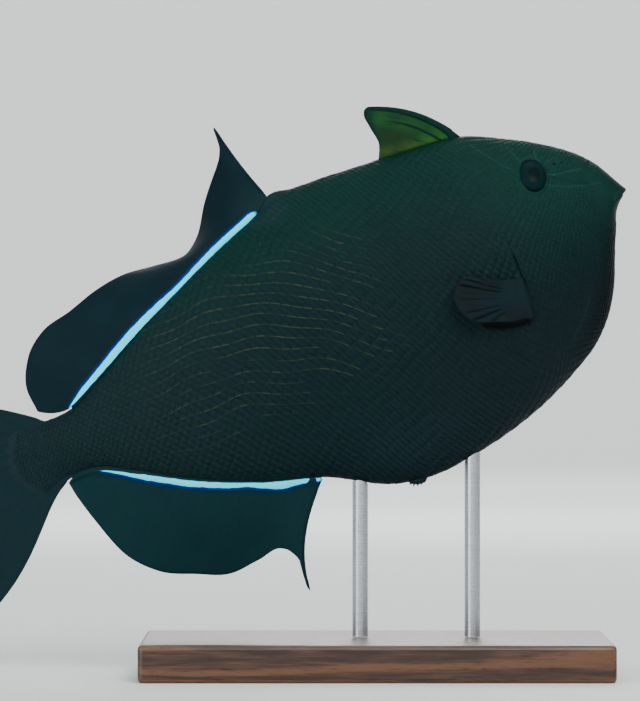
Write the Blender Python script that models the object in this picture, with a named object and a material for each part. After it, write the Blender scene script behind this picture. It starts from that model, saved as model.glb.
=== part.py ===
# A blackfin triggerfish at life size, swimming with its head up, held over a plain base by two short rods.
# Run it in Blender's text editor, or with: blender --background --python part.py
#
# The fish has lengths of its own: u runs back from the tip of the snout, v runs up from the
# mouth, and y is the same as in the scene, with the fish's right side towards -Y. The function
# place() turns these to the scene's X, Y and Z. The base stands on Z = 0, centred on the origin.

import math
import random

import bmesh
import bpy
import numpy as np
from mathutils import Matrix, Vector

MM = 0.001

# The pose
PITCH = math.radians(24.5)
SNOUT_X = 80 * MM
SNOUT_Z = 155 * MM
GAP = 0.3 * MM

# The body, from the snout to the root of the tail fin
BODY_LENGTH = 201 * MM
HEAD_END = 40.5 * MM
HEAD_END_SLOPE = -0.06
STALK_START = 165 * MM
STALK_END_BULGE = 3 * MM
# The stalk's blunt end, as (distance back, share of the width)
STALK_END = [(1.1 * MM, 0.72), (1.7 * MM, 0.4)]

# Edges of the body in millimetres, as (u, v)
BACK_LINE = [(0, 1.8), (1.25, 4.7), (2.45, 7.4), (3.9, 10.4), (6.3, 14.2), (8.5, 17.1), (17, 24.7)]
BACK_LINE += [(28, 31.8), (40, 38.2), (57, 41.2), (75, 43.4), (92, 45.2), (104, 45.5), (112, 42.4)]
BACK_LINE += [(125, 38.2), (145, 30.6), (165, 22.4), (180, 15), (190, 10.8), (201, 10.6)]
BELLY_LINE = [(0, -0.4), (1.2, -1.1), (3.5, -2.8), (5.5, -5.1), (7.2, -8.4), (10, -14), (17, -28)]
BELLY_LINE += [(26, -38.2), (40, -46.1), (60, -53.2), (80, -57), (93, -57.7), (108, -54.2)]
BELLY_LINE += [(125, -44), (145, -36.6)]
BELLY_LINE += [(165, -26.6), (180, -16.9), (190, -10.9), (201, -10)]
HALF_WIDTHS = [(0, 3.8), (4, 6.6), (10, 9.4), (20, 13), (30, 16.4), (45, 20), (60, 21), (80, 20.4)]
HALF_WIDTHS += [(100, 18.4), (120, 15), (140, 11.4), (160, 8.3), (180, 5.8), (201, 4.2)]
WIDEST_LINE = [(0, 0), (30, -3), (70, -6), (120, -4), (160, -1), (201, 0.4)]
KEEL_SHARPNESS = 1.22

# Steps of the body's mesh
RING_POINTS = 32
HEAD_STEPS = 15
TORSO_STEPS = 19
STALK_STEPS = 7

# The head's features
EYE_PLACE = (25.2 * MM, 17 * MM)
EYE_RADIUS = 5.7 * MM
EYE_HALF_DEPTH = 3.6 * MM
EYE_SINK = 1.9 * MM
EYE_RIM_RADIUS = 0.6 * MM
EYE_RIM_MARGIN = 0.5 * MM
EYE_RIM_LIFT = 0.15 * MM
EYE_RIM_STEPS = 20
EYE_RIM_SIDES = 6
MOUTH_CORNER = 5.2 * MM
MOUTH_HALF_OPENING = 0.45 * MM
SLOT_CORNER_HALF = 0.15 * MM
SLOT_FRONT = 3 * MM
SLOT_BACK = 4.2 * MM
# Each lip as (how far back its middle lies, radius, height of its middle)
UPPER_LIP = (0.5 * MM, 1.45 * MM, 1.6 * MM)
LOWER_LIP = (2.1 * MM, 1.15 * MM, -1.35 * MM)
LIP_AT_CORNER = 0.35 * MM
LIP_STEPS = 12
LIP_SIDES = 10
NOSTRILS = [(17.2 * MM, 17.6 * MM), (14.8 * MM, 17 * MM)]
NOSTRIL_RADIUS = 0.65 * MM
GROOVE_START = (19.4 * MM, 13.8 * MM)
GROOVE_END = (8.8 * MM, 6.2 * MM)
GROOVE_RADIUS = 0.6 * MM
GROOVE_LIFT = 0.1 * MM
GROOVE_STEPS = 6
GILL_SLIT_CENTRE = (41.1 * MM, -9.2 * MM)
GILL_SLIT_HALF_LENGTH = 5.6 * MM
GILL_SLIT_HALF_WIDTH = 0.7 * MM
GILL_SLIT_DEPTH = 2.5 * MM

# Fins: membranes, rays and the fleshy band at the root
MEMBRANE = 0.6 * MM
RAY_THICK = 1.15 * MM
FIN_EDGE = 0.5 * MM
RAY_HALF_WIDTH = 0.24
BAND_THICK = 2.2 * MM
BAND_SHARE = 0.16
RAY_UPRIGHT = 4.5 * MM
RAY_ARCH = 2.6 * MM

SOFT_DORSAL_RAYS = 31
SOFT_DORSAL_ROOT = (105.5 * MM, 189 * MM)
# Tips of the rays, as (share of the root's length, u, v, y) in millimetres; y is the fin's own wave
SOFT_DORSAL_TIPS = [(0, 111.5, 73, 0), (0.03, 112.6, 65, 1), (0.09, 117, 59.5, 5), (0.16, 123.5, 52.5, 11)]
SOFT_DORSAL_TIPS += [(0.23, 130, 44, 16.5), (0.3, 138, 40.2, 18.5), (0.4, 148, 41.6, 18), (0.5, 158, 43, 15)]
SOFT_DORSAL_TIPS += [(0.6, 168, 42, 11), (0.7, 178.5, 39.2, 7), (0.8, 189, 36.8, 3), (0.88, 196.5, 31, 0.5)]
SOFT_DORSAL_TIPS += [(0.95, 201, 22, 0), (1, 200.8, 14, 0)]
# How far each ray bows from a straight line, as (share of the root's length, back, up) in millimetres
SOFT_DORSAL_BOW = [(0, 0.9, 0), (0.1, 0.4, 0), (0.3, 0, 0), (0.8, 0, 0), (1, 0, -1.6)]

ANAL_RAYS = 28
ANAL_ROOT = (126.5 * MM, 191 * MM)
ANAL_TIPS = [(0, 145, -74.8, 0), (0.03, 144.8, -65, 0), (0.09, 147.2, -58, 2), (0.18, 156, -58.9, 5)]
ANAL_TIPS += [(0.3, 166, -59.2, 7), (0.45, 176.5, -54.6, 6), (0.6, 187, -48.6, 4), (0.72, 194.2, -39.5, 2)]
ANAL_TIPS += [(0.84, 198.4, -26, 0.5), (0.93, 200.6, -16, 0), (1, 200.5, -10.6, 0)]
ANAL_BOW = [(0, 4.6, 0), (0.05, 3.6, 0), (0.15, 1.5, 0), (0.4, 0, 0), (1, 0, 0)]

CAUDAL_RAYS = 12
CAUDAL_ROOT_THICK = 2.6 * MM
CAUDAL_ROOT_SHARE = 0.93
CAUDAL_TIPS = [(0, 241, 36.5, 0), (0.12, 244.8, 30, 0.6), (0.35, 247.2, 11, 1.2), (0.5, 247.6, -0.8, 1.4)]
CAUDAL_TIPS += [(0.65, 247, -12.6, 1.2), (0.88, 243.8, -31.6, 0.6), (1, 239.6, -38, 0)]
# Where the rays of the tail fin head first and then, as (share of the fin's height, u, v)
CAUDAL_FIRST = [(0, 208.5, 17.6), (0.25, 215, 9), (0.5, 216, 0), (0.75, 215, -7.4), (1, 211, -12.6)]
CAUDAL_SECOND = [(0, 224, 30), (0.25, 231, 14.6), (0.5, 232, 0), (0.75, 230, -14.4), (1, 217.5, -28)]

PECTORAL_RAYS = 13
PECTORAL_ROOT = ((43.2 * MM, -11.2 * MM), (44.8 * MM, -24.4 * MM))
PECTORAL_RAY_RISE = 0.4 * MM
PECTORAL_TIPS = [(0, 57.4, -3.9, 3.4), (0.15, 60.6, -4.1, 4.6), (0.35, 64, -6.8, 5.6), (0.5, 65, -9.4, 6)]
PECTORAL_TIPS += [(0.68, 64.2, -13.4, 5.8), (0.82, 61.2, -17.6, 4.8), (0.92, 55.6, -20, 3.2)]
PECTORAL_TIPS += [(1, 50.4, -22.2, 2)]

SPINY_ROOT = (41.2 * MM, 66 * MM)
SPINY_TIPS = [(0, 64.6, 59.8, 0), (0.14, 66, 57.6, 0), (0.34, 66, 53.4, 0), (0.66, 65.4, 47.6, 0)]
SPINY_TIPS += [(1, 66.8, 44.6, 0)]
# Each spine as (share of the root's length, thickness at the root, thickness at the tip)
SPINES = [(0.05, 2.9 * MM, 1.2 * MM), (0.34, 1.9 * MM, 0.9 * MM), (0.66, 1.4 * MM, 0.8 * MM)]
SPINE_HALF_WIDTH = 0.05
SPINY_BOW = [(0, -2.1, 2.1), (0.1, -1.7, 1.7), (0.34, -0.3, 0.5), (0.66, 0, 0.2), (1, 0, 0)]

PELVIC_SPINE_START = 95 * MM
PELVIC_SPINE_LENGTH = 7.5 * MM
PELVIC_SPINE_RADIUS = 1.7 * MM
PELVIC_SHAPE = [(0, 0.35), (0.12, 0.7), (0.35, 1.0), (0.65, 0.95), (0.88, 0.6), (1, 0.25)]
PELVIC_DROOP = 0.8 * MM
PELVIC_BARBS = 6
BARB_REACH = (1.5 * MM, 1.9 * MM)
BARB_RADII = (0.5 * MM, 0.12 * MM)

# Where a fin's mesh has its rows, as shares of each ray
FIN_ROWS = [0, 0.05, 0.14, 0.32, 0.55, 0.8, 1]
CAUDAL_ROWS = [0, 0.05, 0.15, 0.32, 0.52, 0.74, 0.9, 1]
PECTORAL_ROWS = [0, 0.16, 0.4, 0.7, 1]
SPINY_ROWS = [0, 0.12, 0.3, 0.52, 0.76, 1]
SPINY_COLUMNS = [0.0, 0.2, 0.5, 0.84, 1.0]

# The display stand
BASE_SIZE = (150 * MM, 90 * MM, 12 * MM)
BASE_EDGE_BEVEL = 1.5 * MM
ROD_RADIUS = 2.5 * MM
ROD_PLACES = {"front": 31 * MM, "rear": -5 * MM}
ROD_REACH_INTO_BELLY = 12 * MM

COLOURS = {
    "skin": ((0.021, 0.03, 0.032), 0.42, 0.0),
    "fin": ((0.01, 0.015, 0.02), 0.45, 0.0),
    "spiny_fin": ((0.035, 0.06, 0.02), 0.5, 0.0),
    "eye": ((0.012, 0.014, 0.014), 0.08, 0.0),
    "base": ((0.05, 0.03, 0.02), 0.35, 0.0),
    "rod": ((0.6, 0.6, 0.6), 0.3, 1.0),
}


def clear_scene():
    for old in list(bpy.data.objects):
        bpy.data.objects.remove(old, do_unlink=True)


def finish(name):
    """The material of one kind of surface, made once."""
    found = bpy.data.materials.get(name)
    if found:
        return found
    colour, roughness, metallic = COLOURS[name]
    made = bpy.data.materials.new(name)
    made.use_nodes = True
    shader = made.node_tree.nodes["Principled BSDF"]
    shader.inputs["Base Color"].default_value = (*colour, 1)
    shader.inputs["Roughness"].default_value = roughness
    shader.inputs["Metallic"].default_value = metallic
    return made


def spline(points, scale=MM):
    """A smooth curve through the points, as a function of each point's first number."""
    table = np.array(points, float)
    along = table[:, 0]
    values = table[:, 1:] * scale
    step = np.diff(along)
    slope = np.diff(values, axis=0) / step[:, None]
    inner = (slope[:-1] * step[1:, None] + slope[1:] * step[:-1, None]) / (step[1:] + step[:-1])[:, None]
    tangent = np.vstack([slope[:1], inner, slope[-1:]])

    def value(at):
        i = int(np.clip(np.searchsorted(along, at) - 1, 0, len(step) - 1))
        s = (at - along[i]) / step[i]
        start, end = values[i], values[i + 1]
        a, b = tangent[i] * step[i], tangent[i + 1] * step[i]
        return start + s * (a + s * (3 * (end - start) - 2 * a - b + s * (a + b - 2 * (end - start))))

    return value


def by_root_of_length(points):
    """A curve that leaves the snout at a right angle, because it follows the square root of the length."""
    curve = spline([(math.sqrt(u), v) for u, v in points])
    return lambda u: float(curve(math.sqrt(max(u, 0) / MM))[0])


back_edge = by_root_of_length(BACK_LINE)
belly_edge = by_root_of_length(BELLY_LINE)
half_width = by_root_of_length(HALF_WIDTHS)
widest_level = by_root_of_length(WIDEST_LINE)


def place(u, v, y):
    """A point of the fish in the scene."""
    x = SNOUT_X - math.cos(PITCH) * u - math.sin(PITCH) * v
    z = SNOUT_Z - math.sin(PITCH) * u + math.cos(PITCH) * v
    return Vector((x, y, z))


def skin_point(u, turn, grow=0.0):
    """A point on the skin: turn runs from the back down the right side, and on up the left."""
    level = widest_level(u)
    edge = back_edge(u) + grow if math.cos(turn) > 0 else belly_edge(u) - grow
    v = level + abs(math.cos(turn)) * (edge - level)
    side = abs(math.sin(turn)) ** KEEL_SHARPNESS * (half_width(u) + grow)
    return u, v, -math.copysign(side, math.sin(turn))


def turn_at(u, v):
    """The turn on the right side at which the skin reaches the height v."""
    level = widest_level(u)
    edge = back_edge(u) if v > level else belly_edge(u)
    return math.acos(min(max(abs(v - level) / abs(edge - level), 0), 1) * (1 if v > level else -1))


def flank(u, v, side=-1, lift=0.0):
    """A point on the flank, moved out from the skin by lift, and the skin's outward normal there."""
    turn = turn_at(u, v)
    step = 0.02
    here = place(*skin_point(u, turn))
    along = place(*skin_point(u + MM, turn)) - here
    around = place(*skin_point(u, turn + step)) - here
    normal = around.cross(along).normalized()
    if normal.y > 0:
        normal = -normal
    point = here + normal * lift
    mirror = Vector((1, -side, 1))
    return point * mirror, normal * mirror


def new_object(name, points, faces, surface):
    mesh = bpy.data.meshes.new(name)
    mesh.from_pydata([tuple(p) for p in points], [], faces)
    made = bpy.data.objects.new(name, mesh)
    bpy.context.scene.collection.objects.link(made)
    mesh.materials.append(finish(surface))
    work = bmesh.new()
    work.from_mesh(mesh)
    bmesh.ops.recalc_face_normals(work, faces=work.faces)
    work.to_mesh(mesh)
    work.free()
    return made


def smooth_shade(made, angle=40):
    made.data.shade_smooth()
    made.data.set_sharp_from_angle(angle=math.radians(angle))


def loft(name, rings, surface):
    """A closed solid through rings of points, with a flat end on the first and the last ring."""
    count = len(rings[0])
    points = [p for ring in rings for p in ring]
    faces = [list(range(count)), list(range(len(points) - count, len(points)))]
    for i in range(len(rings) - 1):
        for j in range(count):
            a, b = i * count + j, i * count + (j + 1) % count
            faces.append((a, b, b + count, a + count))
    return new_object(name, points, faces, surface)


def keep_largest(made):
    """Drops every closed surface of the mesh but the one that reaches furthest."""
    work = bmesh.new()
    work.from_mesh(made.data)
    left = set(work.verts)
    shells = []
    while left:
        shell, edge = set(), [left.pop()]
        while edge:
            vert = edge.pop()
            shell.add(vert)
            near = {e.other_vert(vert) for e in vert.link_edges} & left
            left -= near
            edge.extend(near)
        shells.append(shell)
    shells.sort(key=lambda shell: sum(f.calc_area() for f in {f for v in shell for f in v.link_faces}))
    for shell in shells[:-1]:
        bmesh.ops.delete(work, geom=list(shell), context="VERTS")
    work.to_mesh(made.data)
    work.free()


def combine(made, pieces, operation):
    """One Boolean on all the pieces at once, applied, with the pieces then removed."""
    group = bpy.data.collections.new(made.name + "_pieces")
    bpy.context.scene.collection.children.link(group)
    for piece in pieces:
        bpy.context.scene.collection.objects.unlink(piece)
        group.objects.link(piece)
    change = made.modifiers.new(operation.lower(), "BOOLEAN")
    change.operation = operation
    change.operand_type = "COLLECTION"
    change.collection = group
    change.solver = "EXACT"
    evaluated = made.evaluated_get(bpy.context.evaluated_depsgraph_get())
    result = bpy.data.meshes.new_from_object(evaluated)
    made.modifiers.clear()
    made.data = result
    result.name = made.name
    for piece in pieces:
        bpy.data.objects.remove(piece, do_unlink=True)
    bpy.data.collections.remove(group)
    keep_largest(made)


def body_rings(start, end, steps, first_power=1.0, grow=0.0):
    """Rings of the body between two lengths. Each lies on a slanted plane near the gill cover."""
    rings = []
    for i in range(steps + 1):
        middle = start + (end - start) * (i / steps) ** first_power
        slope = HEAD_END_SLOPE * max(0, 1 - abs(middle - HEAD_END) / HEAD_END)
        bulge = STALK_END_BULGE * max(0, (middle - STALK_START) / (BODY_LENGTH - STALK_START)) ** 2
        ring = []
        for j in range(RING_POINTS):
            turn = 2 * math.pi * j / RING_POINTS
            u = middle
            for _ in range(4):
                v = skin_point(u, turn)[1]
                u = middle + slope * v - bulge * math.cos(turn) ** 2
            ring.append(place(*skin_point(max(u, 0), turn, grow)))
        rings.append(ring)
    return rings


def tube(name, path, radii, surface, sides=8):
    """A closed round bar along a path of scene points, with a radius for each point."""
    rings = []
    for i, (point, radius) in enumerate(zip(path, radii)):
        ahead = (path[min(i + 1, len(path) - 1)] - path[max(i - 1, 0)]).normalized()
        across = ahead.cross(Vector((0.02, 0.03, 1))).normalized()
        other = ahead.cross(across)
        turns = [2 * math.pi * j / sides for j in range(sides)]
        rings.append([point + radius * (math.cos(t) * across + math.sin(t) * other) for t in turns])
    return loft(name, rings, surface)


def ball(name, centre, half_sizes, axis, surface, segments=24, rings=12):
    """An ellipsoid whose own Z axis points along axis."""
    work = bmesh.new()
    bmesh.ops.create_uvsphere(work, u_segments=segments, v_segments=rings, radius=1)
    turn = axis.to_track_quat("Z", "Y").to_matrix().to_4x4()
    shape = Matrix.Translation(centre) @ turn @ Matrix.Diagonal((*half_sizes, 1))
    bmesh.ops.transform(work, matrix=shape, verts=work.verts)
    mesh = bpy.data.meshes.new(name)
    work.to_mesh(mesh)
    work.free()
    made = bpy.data.objects.new(name, mesh)
    bpy.context.scene.collection.objects.link(made)
    mesh.materials.append(finish(surface))
    return made


def mouth_arc(turn, inset):
    """A point of the mouth's curve in u and y, from the right corner over the front to the left one."""
    u = inset * math.cos(turn) + MOUTH_CORNER * (1 - math.cos(turn))
    return u, (half_width(MOUTH_CORNER) - inset) * math.sin(turn)


def mouth_turns():
    """The turns at which the lips and the slot between them have a ring."""
    return [(i / LIP_STEPS - 0.5) * math.pi for i in range(LIP_STEPS + 1)]


def lip(name, inset, full_radius, height):
    """A fleshy lip, fullest in front and thin at the corners of the mouth."""
    path, radii = [], []
    for turn in mouth_turns():
        full = math.cos(turn)
        u, y = mouth_arc(turn, LIP_AT_CORNER + (inset - LIP_AT_CORNER) * full)
        path.append(place(u, height * (0.5 + 0.5 * full), y))
        radii.append(full_radius * (0.45 + 0.55 * full))
    return tube(name, path, radii, "skin", sides=LIP_SIDES)


def mouth_slot():
    """The opening between the lips: a curved band that is open in front and closes at the corners."""
    rings = []
    for turn in mouth_turns():
        half = SLOT_CORNER_HALF + MOUTH_HALF_OPENING * math.cos(turn)
        ring = []
        for inset, up in ((-SLOT_FRONT, 1), (-SLOT_FRONT, -1), (SLOT_BACK, -1), (SLOT_BACK, 1)):
            u, y = mouth_arc(turn, inset)
            ring.append(place(u, up * half, y))
        rings.append(ring)
    return loft("mouth_slot", rings, "skin")


def eye_rim(side):
    """The low fold of skin round the eye."""
    centre, normal = flank(*EYE_PLACE, side, lift=EYE_RIM_LIFT)
    tilt = normal.to_track_quat("Z", "Y")
    radius = EYE_RADIUS * math.sqrt(1 - (EYE_SINK / EYE_HALF_DEPTH) ** 2) + EYE_RIM_MARGIN
    points, faces = [], []
    for i in range(EYE_RIM_STEPS):
        turn = 2 * math.pi * i / EYE_RIM_STEPS
        out = tilt @ Vector((math.cos(turn), math.sin(turn), 0))
        for j in range(EYE_RIM_SIDES):
            around = 2 * math.pi * j / EYE_RIM_SIDES
            bulge = math.cos(around) * out + math.sin(around) * normal
            points.append(centre + out * radius + EYE_RIM_RADIUS * bulge)
            ahead, beside = (i + 1) % EYE_RIM_STEPS, (j + 1) % EYE_RIM_SIDES
            corners = ((i, j), (i, beside), (ahead, beside), (ahead, j))
            faces.append([step * EYE_RIM_SIDES + side_of for step, side_of in corners])
    return new_object("eye_rim", points, faces, "skin")


def eye(name, side, grow=0.0):
    centre, normal = flank(*EYE_PLACE, side, lift=-EYE_SINK)
    sizes = (EYE_RADIUS + grow, EYE_RADIUS + grow, EYE_HALF_DEPTH + grow)
    made = ball(name, centre, sizes, normal, "eye")
    smooth_shade(made)
    return made


def groove(side):
    """The cutter for the groove that runs from the eye towards the mouth."""
    path, radii = [], []
    for i in range(GROOVE_STEPS + 1):
        share = i / GROOVE_STEPS
        u = GROOVE_START[0] + (GROOVE_END[0] - GROOVE_START[0]) * share
        v = GROOVE_START[1] + (GROOVE_END[1] - GROOVE_START[1]) * share
        path.append(flank(u, v, side, lift=GROOVE_LIFT)[0])
        radii.append(GROOVE_RADIUS * (0.35 + 0.65 * math.sin(math.pi * (0.12 + 0.8 * share))))
    return tube("groove", path, radii, "skin", sides=6)


def nostril(centre, side):
    point, normal = flank(*centre, side)
    return ball("nostril", point, (NOSTRIL_RADIUS,) * 3, normal, "skin", segments=8, rings=6)


def gill_slit(side):
    """The cutter for the short gill opening, which lies along the seam of head and torso."""
    u, v = GILL_SLIT_CENTRE
    point, normal = flank(u, v, side)
    above = flank(u + HEAD_END_SLOPE * 3 * MM, v + 3 * MM, side)[0]
    up = (above - point).normalized()
    along = up.cross(normal).normalized()
    if side > 0:
        along = -along
    sizes = (GILL_SLIT_HALF_WIDTH, GILL_SLIT_HALF_LENGTH, GILL_SLIT_DEPTH)
    made = ball("gill_slit", Vector((0, 0, 0)), sizes, Vector((0, 0, 1)), "skin", segments=12, rings=8)
    made.data.transform(Matrix.Translation(point) @ Matrix((along, up, normal)).transposed().to_4x4())
    if Matrix((along, up, normal)).determinant() < 0:
        made.data.flip_normals()
    return made


def head():
    made = loft("head", body_rings(0.05 * MM, HEAD_END - GAP / 2, HEAD_STEPS, first_power=1.7), "skin")
    added = [lip("upper_lip", *UPPER_LIP), lip("lower_lip", *LOWER_LIP), eye_rim(-1), eye_rim(1)]
    combine(made, added, "UNION")
    cutters = [mouth_slot()]
    for side in (-1, 1):
        cutters += [eye("eye_socket", side, grow=GAP), groove(side), gill_slit(side)]
        cutters += [nostril(centre, side) for centre in NOSTRILS]
    combine(made, cutters, "DIFFERENCE")
    smooth_shade(made)


def torso():
    made = loft("torso", body_rings(HEAD_END + GAP / 2, STALK_START - GAP / 2, TORSO_STEPS), "skin")
    combine(made, [gill_slit(-1), gill_slit(1)], "DIFFERENCE")
    smooth_shade(made)


def tail_stalk():
    """The rear of the body, which thins to a blunt edge where the tail fin grows."""
    rings = body_rings(STALK_START + GAP / 2, BODY_LENGTH, STALK_STEPS)
    for back, thin in STALK_END:
        shift = place(back, 0, 0) - place(0, 0, 0)
        rings.append([(p + shift) * Vector((1, thin, 1)) for p in rings[STALK_STEPS]])
    smooth_shade(loft("tail_stalk", rings, "skin"))


def sheet(name, columns, rows, surface_point, thickness, surface):
    """A thin solid over a grid of shares across and along, split the same way on both faces."""
    middle = [[surface_point(t, r) for r in rows] for t in columns]
    count_t, count_r = len(columns), len(rows)
    points = []
    for sign in (1, -1):
        for i in range(count_t):
            for j in range(count_r):
                across = middle[min(i + 1, count_t - 1)][j] - middle[max(i - 1, 0)][j]
                along = middle[i][min(j + 1, count_r - 1)] - middle[i][max(j - 1, 0)]
                normal = along.cross(across).normalized()
                points.append(middle[i][j] + normal * (sign * thickness(columns[i], rows[j]) / 2))
    far = count_t * count_r
    faces = []
    for i in range(count_t - 1):
        for j in range(count_r - 1):
            a, b = i * count_r + j, (i + 1) * count_r + j
            for x, y, z in ((a, b, b + 1), (a, b + 1, a + 1)):
                faces += [(x, y, z), (x + far, z + far, y + far)]
    rim = list(range(count_r))
    rim += [i * count_r + count_r - 1 for i in range(1, count_t)]
    rim += [(count_t - 1) * count_r + j for j in range(count_r - 2, -1, -1)]
    rim += [i * count_r for i in range(count_t - 2, 0, -1)]
    for a, b in zip(rim, rim[1:] + rim[:1]):
        faces += [(a, b, b + far), (a, b + far, a + far)]
    made = new_object(name, points, faces, surface)
    smooth_shade(made, angle=60)
    return made


def ray_columns(count):
    """Shares across a fin: each ray has a ridge with a foot on either side."""
    pitch = 1 / (count - 1)
    columns = [0.0]
    for i in range(count):
        for offset in (-RAY_HALF_WIDTH, 0, RAY_HALF_WIDTH):
            columns.append((i + offset) * pitch)
    return sorted({round(t, 5) for t in columns if 0 <= t <= 1})


def ray_height(t, count):
    """1 on a ray's ridge, 0 on the membrane."""
    off = abs(t * (count - 1) - round(t * (count - 1)))
    return max(0.0, 1 - off / RAY_HALF_WIDTH)


def soft_thickness(count, band):
    """The thickness of a soft fin: a fleshy band at the root, then rays that thin towards the edge."""

    def value(t, r):
        body = MEMBRANE + (RAY_THICK - MEMBRANE) * ray_height(t, count)
        full = body + (FIN_EDGE - body) * r**1.5
        return max(full, band * (1 - r / BAND_SHARE))

    return value


def median_fin(name, root, edge, up, tips, bows, rays):
    """A soft fin on the back or the belly: each ray leaves the edge upright, then may bend to one side."""
    tip = spline(tips)
    bow = spline(bows)

    def surface_point(t, r):
        u = root[0] + (root[1] - root[0]) * t
        start = np.array((u, edge(u) + up * GAP, 0))
        end = tip(t)
        back, rise, wave = end - start
        upright = np.array((back, up * math.hypot(rise, wave), 0))
        length = np.linalg.norm(upright)
        lean = abs(wave) / math.hypot(rise, wave)
        bent = np.array((*bow(t), 0))
        first = start + upright / length * ((1 - lean) * length / 3 + lean * RAY_UPRIGHT) + bent
        second = start + (end - start) * 0.64 + np.array((0, up * lean * RAY_ARCH, 0)) + bent
        return place(*bezier(start, first, second, end, r))

    sheet(name, ray_columns(rays), FIN_ROWS, surface_point, soft_thickness(rays, BAND_THICK), "fin")


def bezier(a, b, c, d, r):
    return a * (1 - r) ** 3 + b * 3 * r * (1 - r) ** 2 + c * 3 * r**2 * (1 - r) + d * r**3


def stalk_end(t):
    """The root of the tail fin: the rear edge of the tail stalk, from top to bottom."""
    top, bottom = back_edge(BODY_LENGTH), belly_edge(BODY_LENGTH)
    v = CAUDAL_ROOT_SHARE * (top + (bottom - top) * t)
    height = (v - widest_level(BODY_LENGTH)) / top
    return BODY_LENGTH - STALK_END_BULGE * min(height**2, 1) + STALK_END[-1][0] + GAP, v


def caudal_fin():
    tip, first, second = spline(CAUDAL_TIPS), spline(CAUDAL_FIRST), spline(CAUDAL_SECOND)

    def surface_point(t, r):
        start, end = np.array((*stalk_end(t), 0)), tip(t)
        ahead, beyond = np.array((*first(t), 0)), np.array((*second(t), end[2] / 2))
        return place(*bezier(start, ahead, beyond, end, r))

    thickness = soft_thickness(CAUDAL_RAYS, CAUDAL_ROOT_THICK)
    sheet("caudal_fin", ray_columns(CAUDAL_RAYS), CAUDAL_ROWS, surface_point, thickness, "fin")


def pectoral_fin(name, side):
    """A fan that starts flat on the flank behind the gill slit and stands away towards its tip."""
    tip = spline(PECTORAL_TIPS)
    (top_u, top_v), (low_u, low_v) = PECTORAL_ROOT

    def surface_point(t, r):
        start_u, start_v = top_u + (low_u - top_u) * t, top_v + (low_v - top_v) * t
        end_u, end_v, stand_off = tip(t)
        u, v = start_u + (end_u - start_u) * r, start_v + (end_v - start_v) * r
        return flank(u, v, side, lift=GAP + MEMBRANE + stand_off * r**1.3)[0]

    def thickness(t, r):
        body = MEMBRANE + PECTORAL_RAY_RISE * ray_height(t, PECTORAL_RAYS)
        return body + (FIN_EDGE - body) * r**1.5

    sheet(name, ray_columns(PECTORAL_RAYS), PECTORAL_ROWS, surface_point, thickness, "fin")


def first_dorsal_fin():
    """Three stout spines joined by a membrane, half raised."""
    tip, bow = spline(SPINY_TIPS), spline(SPINY_BOW)
    columns = set(SPINY_COLUMNS)
    for middle, _, _ in SPINES:
        columns |= {middle - SPINE_HALF_WIDTH, middle, middle + SPINE_HALF_WIDTH}

    def surface_point(t, r):
        u = SPINY_ROOT[0] + (SPINY_ROOT[1] - SPINY_ROOT[0]) * t
        start = np.array((u, back_edge(u) + GAP, 0))
        end = tip(t)
        bent = np.array((*bow(t), 0))
        return place(*(start * (1 - r) + end * r + bent * 4 * r * (1 - r)))

    def thickness(t, r):
        found = MEMBRANE
        for middle, root_thick, tip_thick in SPINES:
            near = max(0.0, 1 - abs(t - middle) / SPINE_HALF_WIDTH)
            found = max(found, MEMBRANE + near * (root_thick + (tip_thick - root_thick) * r - MEMBRANE))
        return found

    sheet("first_dorsal_fin", sorted(columns), SPINY_ROWS, surface_point, thickness, "spiny_fin")


def pelvic_spine():
    """The rough knob that ends the pelvis, all that the fish has of pelvic fins."""
    path, radii = [], []
    for share, size in PELVIC_SHAPE:
        u = PELVIC_SPINE_START + PELVIC_SPINE_LENGTH * share
        radius = PELVIC_SPINE_RADIUS * size
        path.append(place(u, belly_edge(u) - GAP - radius - PELVIC_DROOP * share**2, 0))
        radii.append(radius)
    made = tube("pelvic_spine", path, radii, "skin")
    draw = random.Random(4)
    barbs = []
    for i in range(PELVIC_BARBS):
        side = -1 if i % 2 else 1
        u = PELVIC_SPINE_START + PELVIC_SPINE_LENGTH * (0.3 + 0.25 * (i // 2))
        v = belly_edge(u) - GAP - PELVIC_SPINE_RADIUS * 1.2
        reach = draw.uniform(*BARB_REACH)
        start = place(u, v, side * BARB_RADII[0])
        end = place(u + 0.8 * reach, v - 0.7 * reach, side * (BARB_RADII[0] + 0.8 * reach))
        barbs.append(tube(f"barb_{i}", [start, end], BARB_RADII, "skin", sides=5))
    combine(made, barbs, "UNION")
    smooth_shade(made)


def stand():
    length, width, height = BASE_SIZE
    work = bmesh.new()
    bmesh.ops.create_cube(work, size=1)
    bmesh.ops.transform(work, matrix=Matrix.Diagonal((length, width, height, 1)), verts=work.verts)
    mesh = bpy.data.meshes.new("stand_base")
    work.to_mesh(mesh)
    work.free()
    base = bpy.data.objects.new("stand_base", mesh)
    base.location.z = height / 2
    bpy.context.scene.collection.objects.link(base)
    mesh.materials.append(finish("base"))
    bevel = base.modifiers.new("edges", "BEVEL")
    bevel.width = BASE_EDGE_BEVEL
    bevel.segments = 3
    for name, x in ROD_PLACES.items():
        stand_rod(f"stand_rod_{name}", x)


def stand_rod(name, x):
    """A round rod from the base to the belly, its top cut to the belly's shape."""
    belly_points = (place(u, belly_edge(u), 0) for u in np.arange(0.03, 0.13, 0.0002))
    belly = next(point for point in belly_points if point.x <= x)
    foot = Vector((x, 0, BASE_SIZE[2] + GAP))
    head_of_rod = Vector((x, 0, belly.z + ROD_REACH_INTO_BELLY))
    made = tube(name, [foot, head_of_rod], [ROD_RADIUS] * 2, "rod", sides=20)
    rings = body_rings(HEAD_END, STALK_START, TORSO_STEPS * 2, grow=GAP)
    combine(made, [loft("belly_cutter", rings, "skin")], "DIFFERENCE")
    smooth_shade(made)


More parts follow.
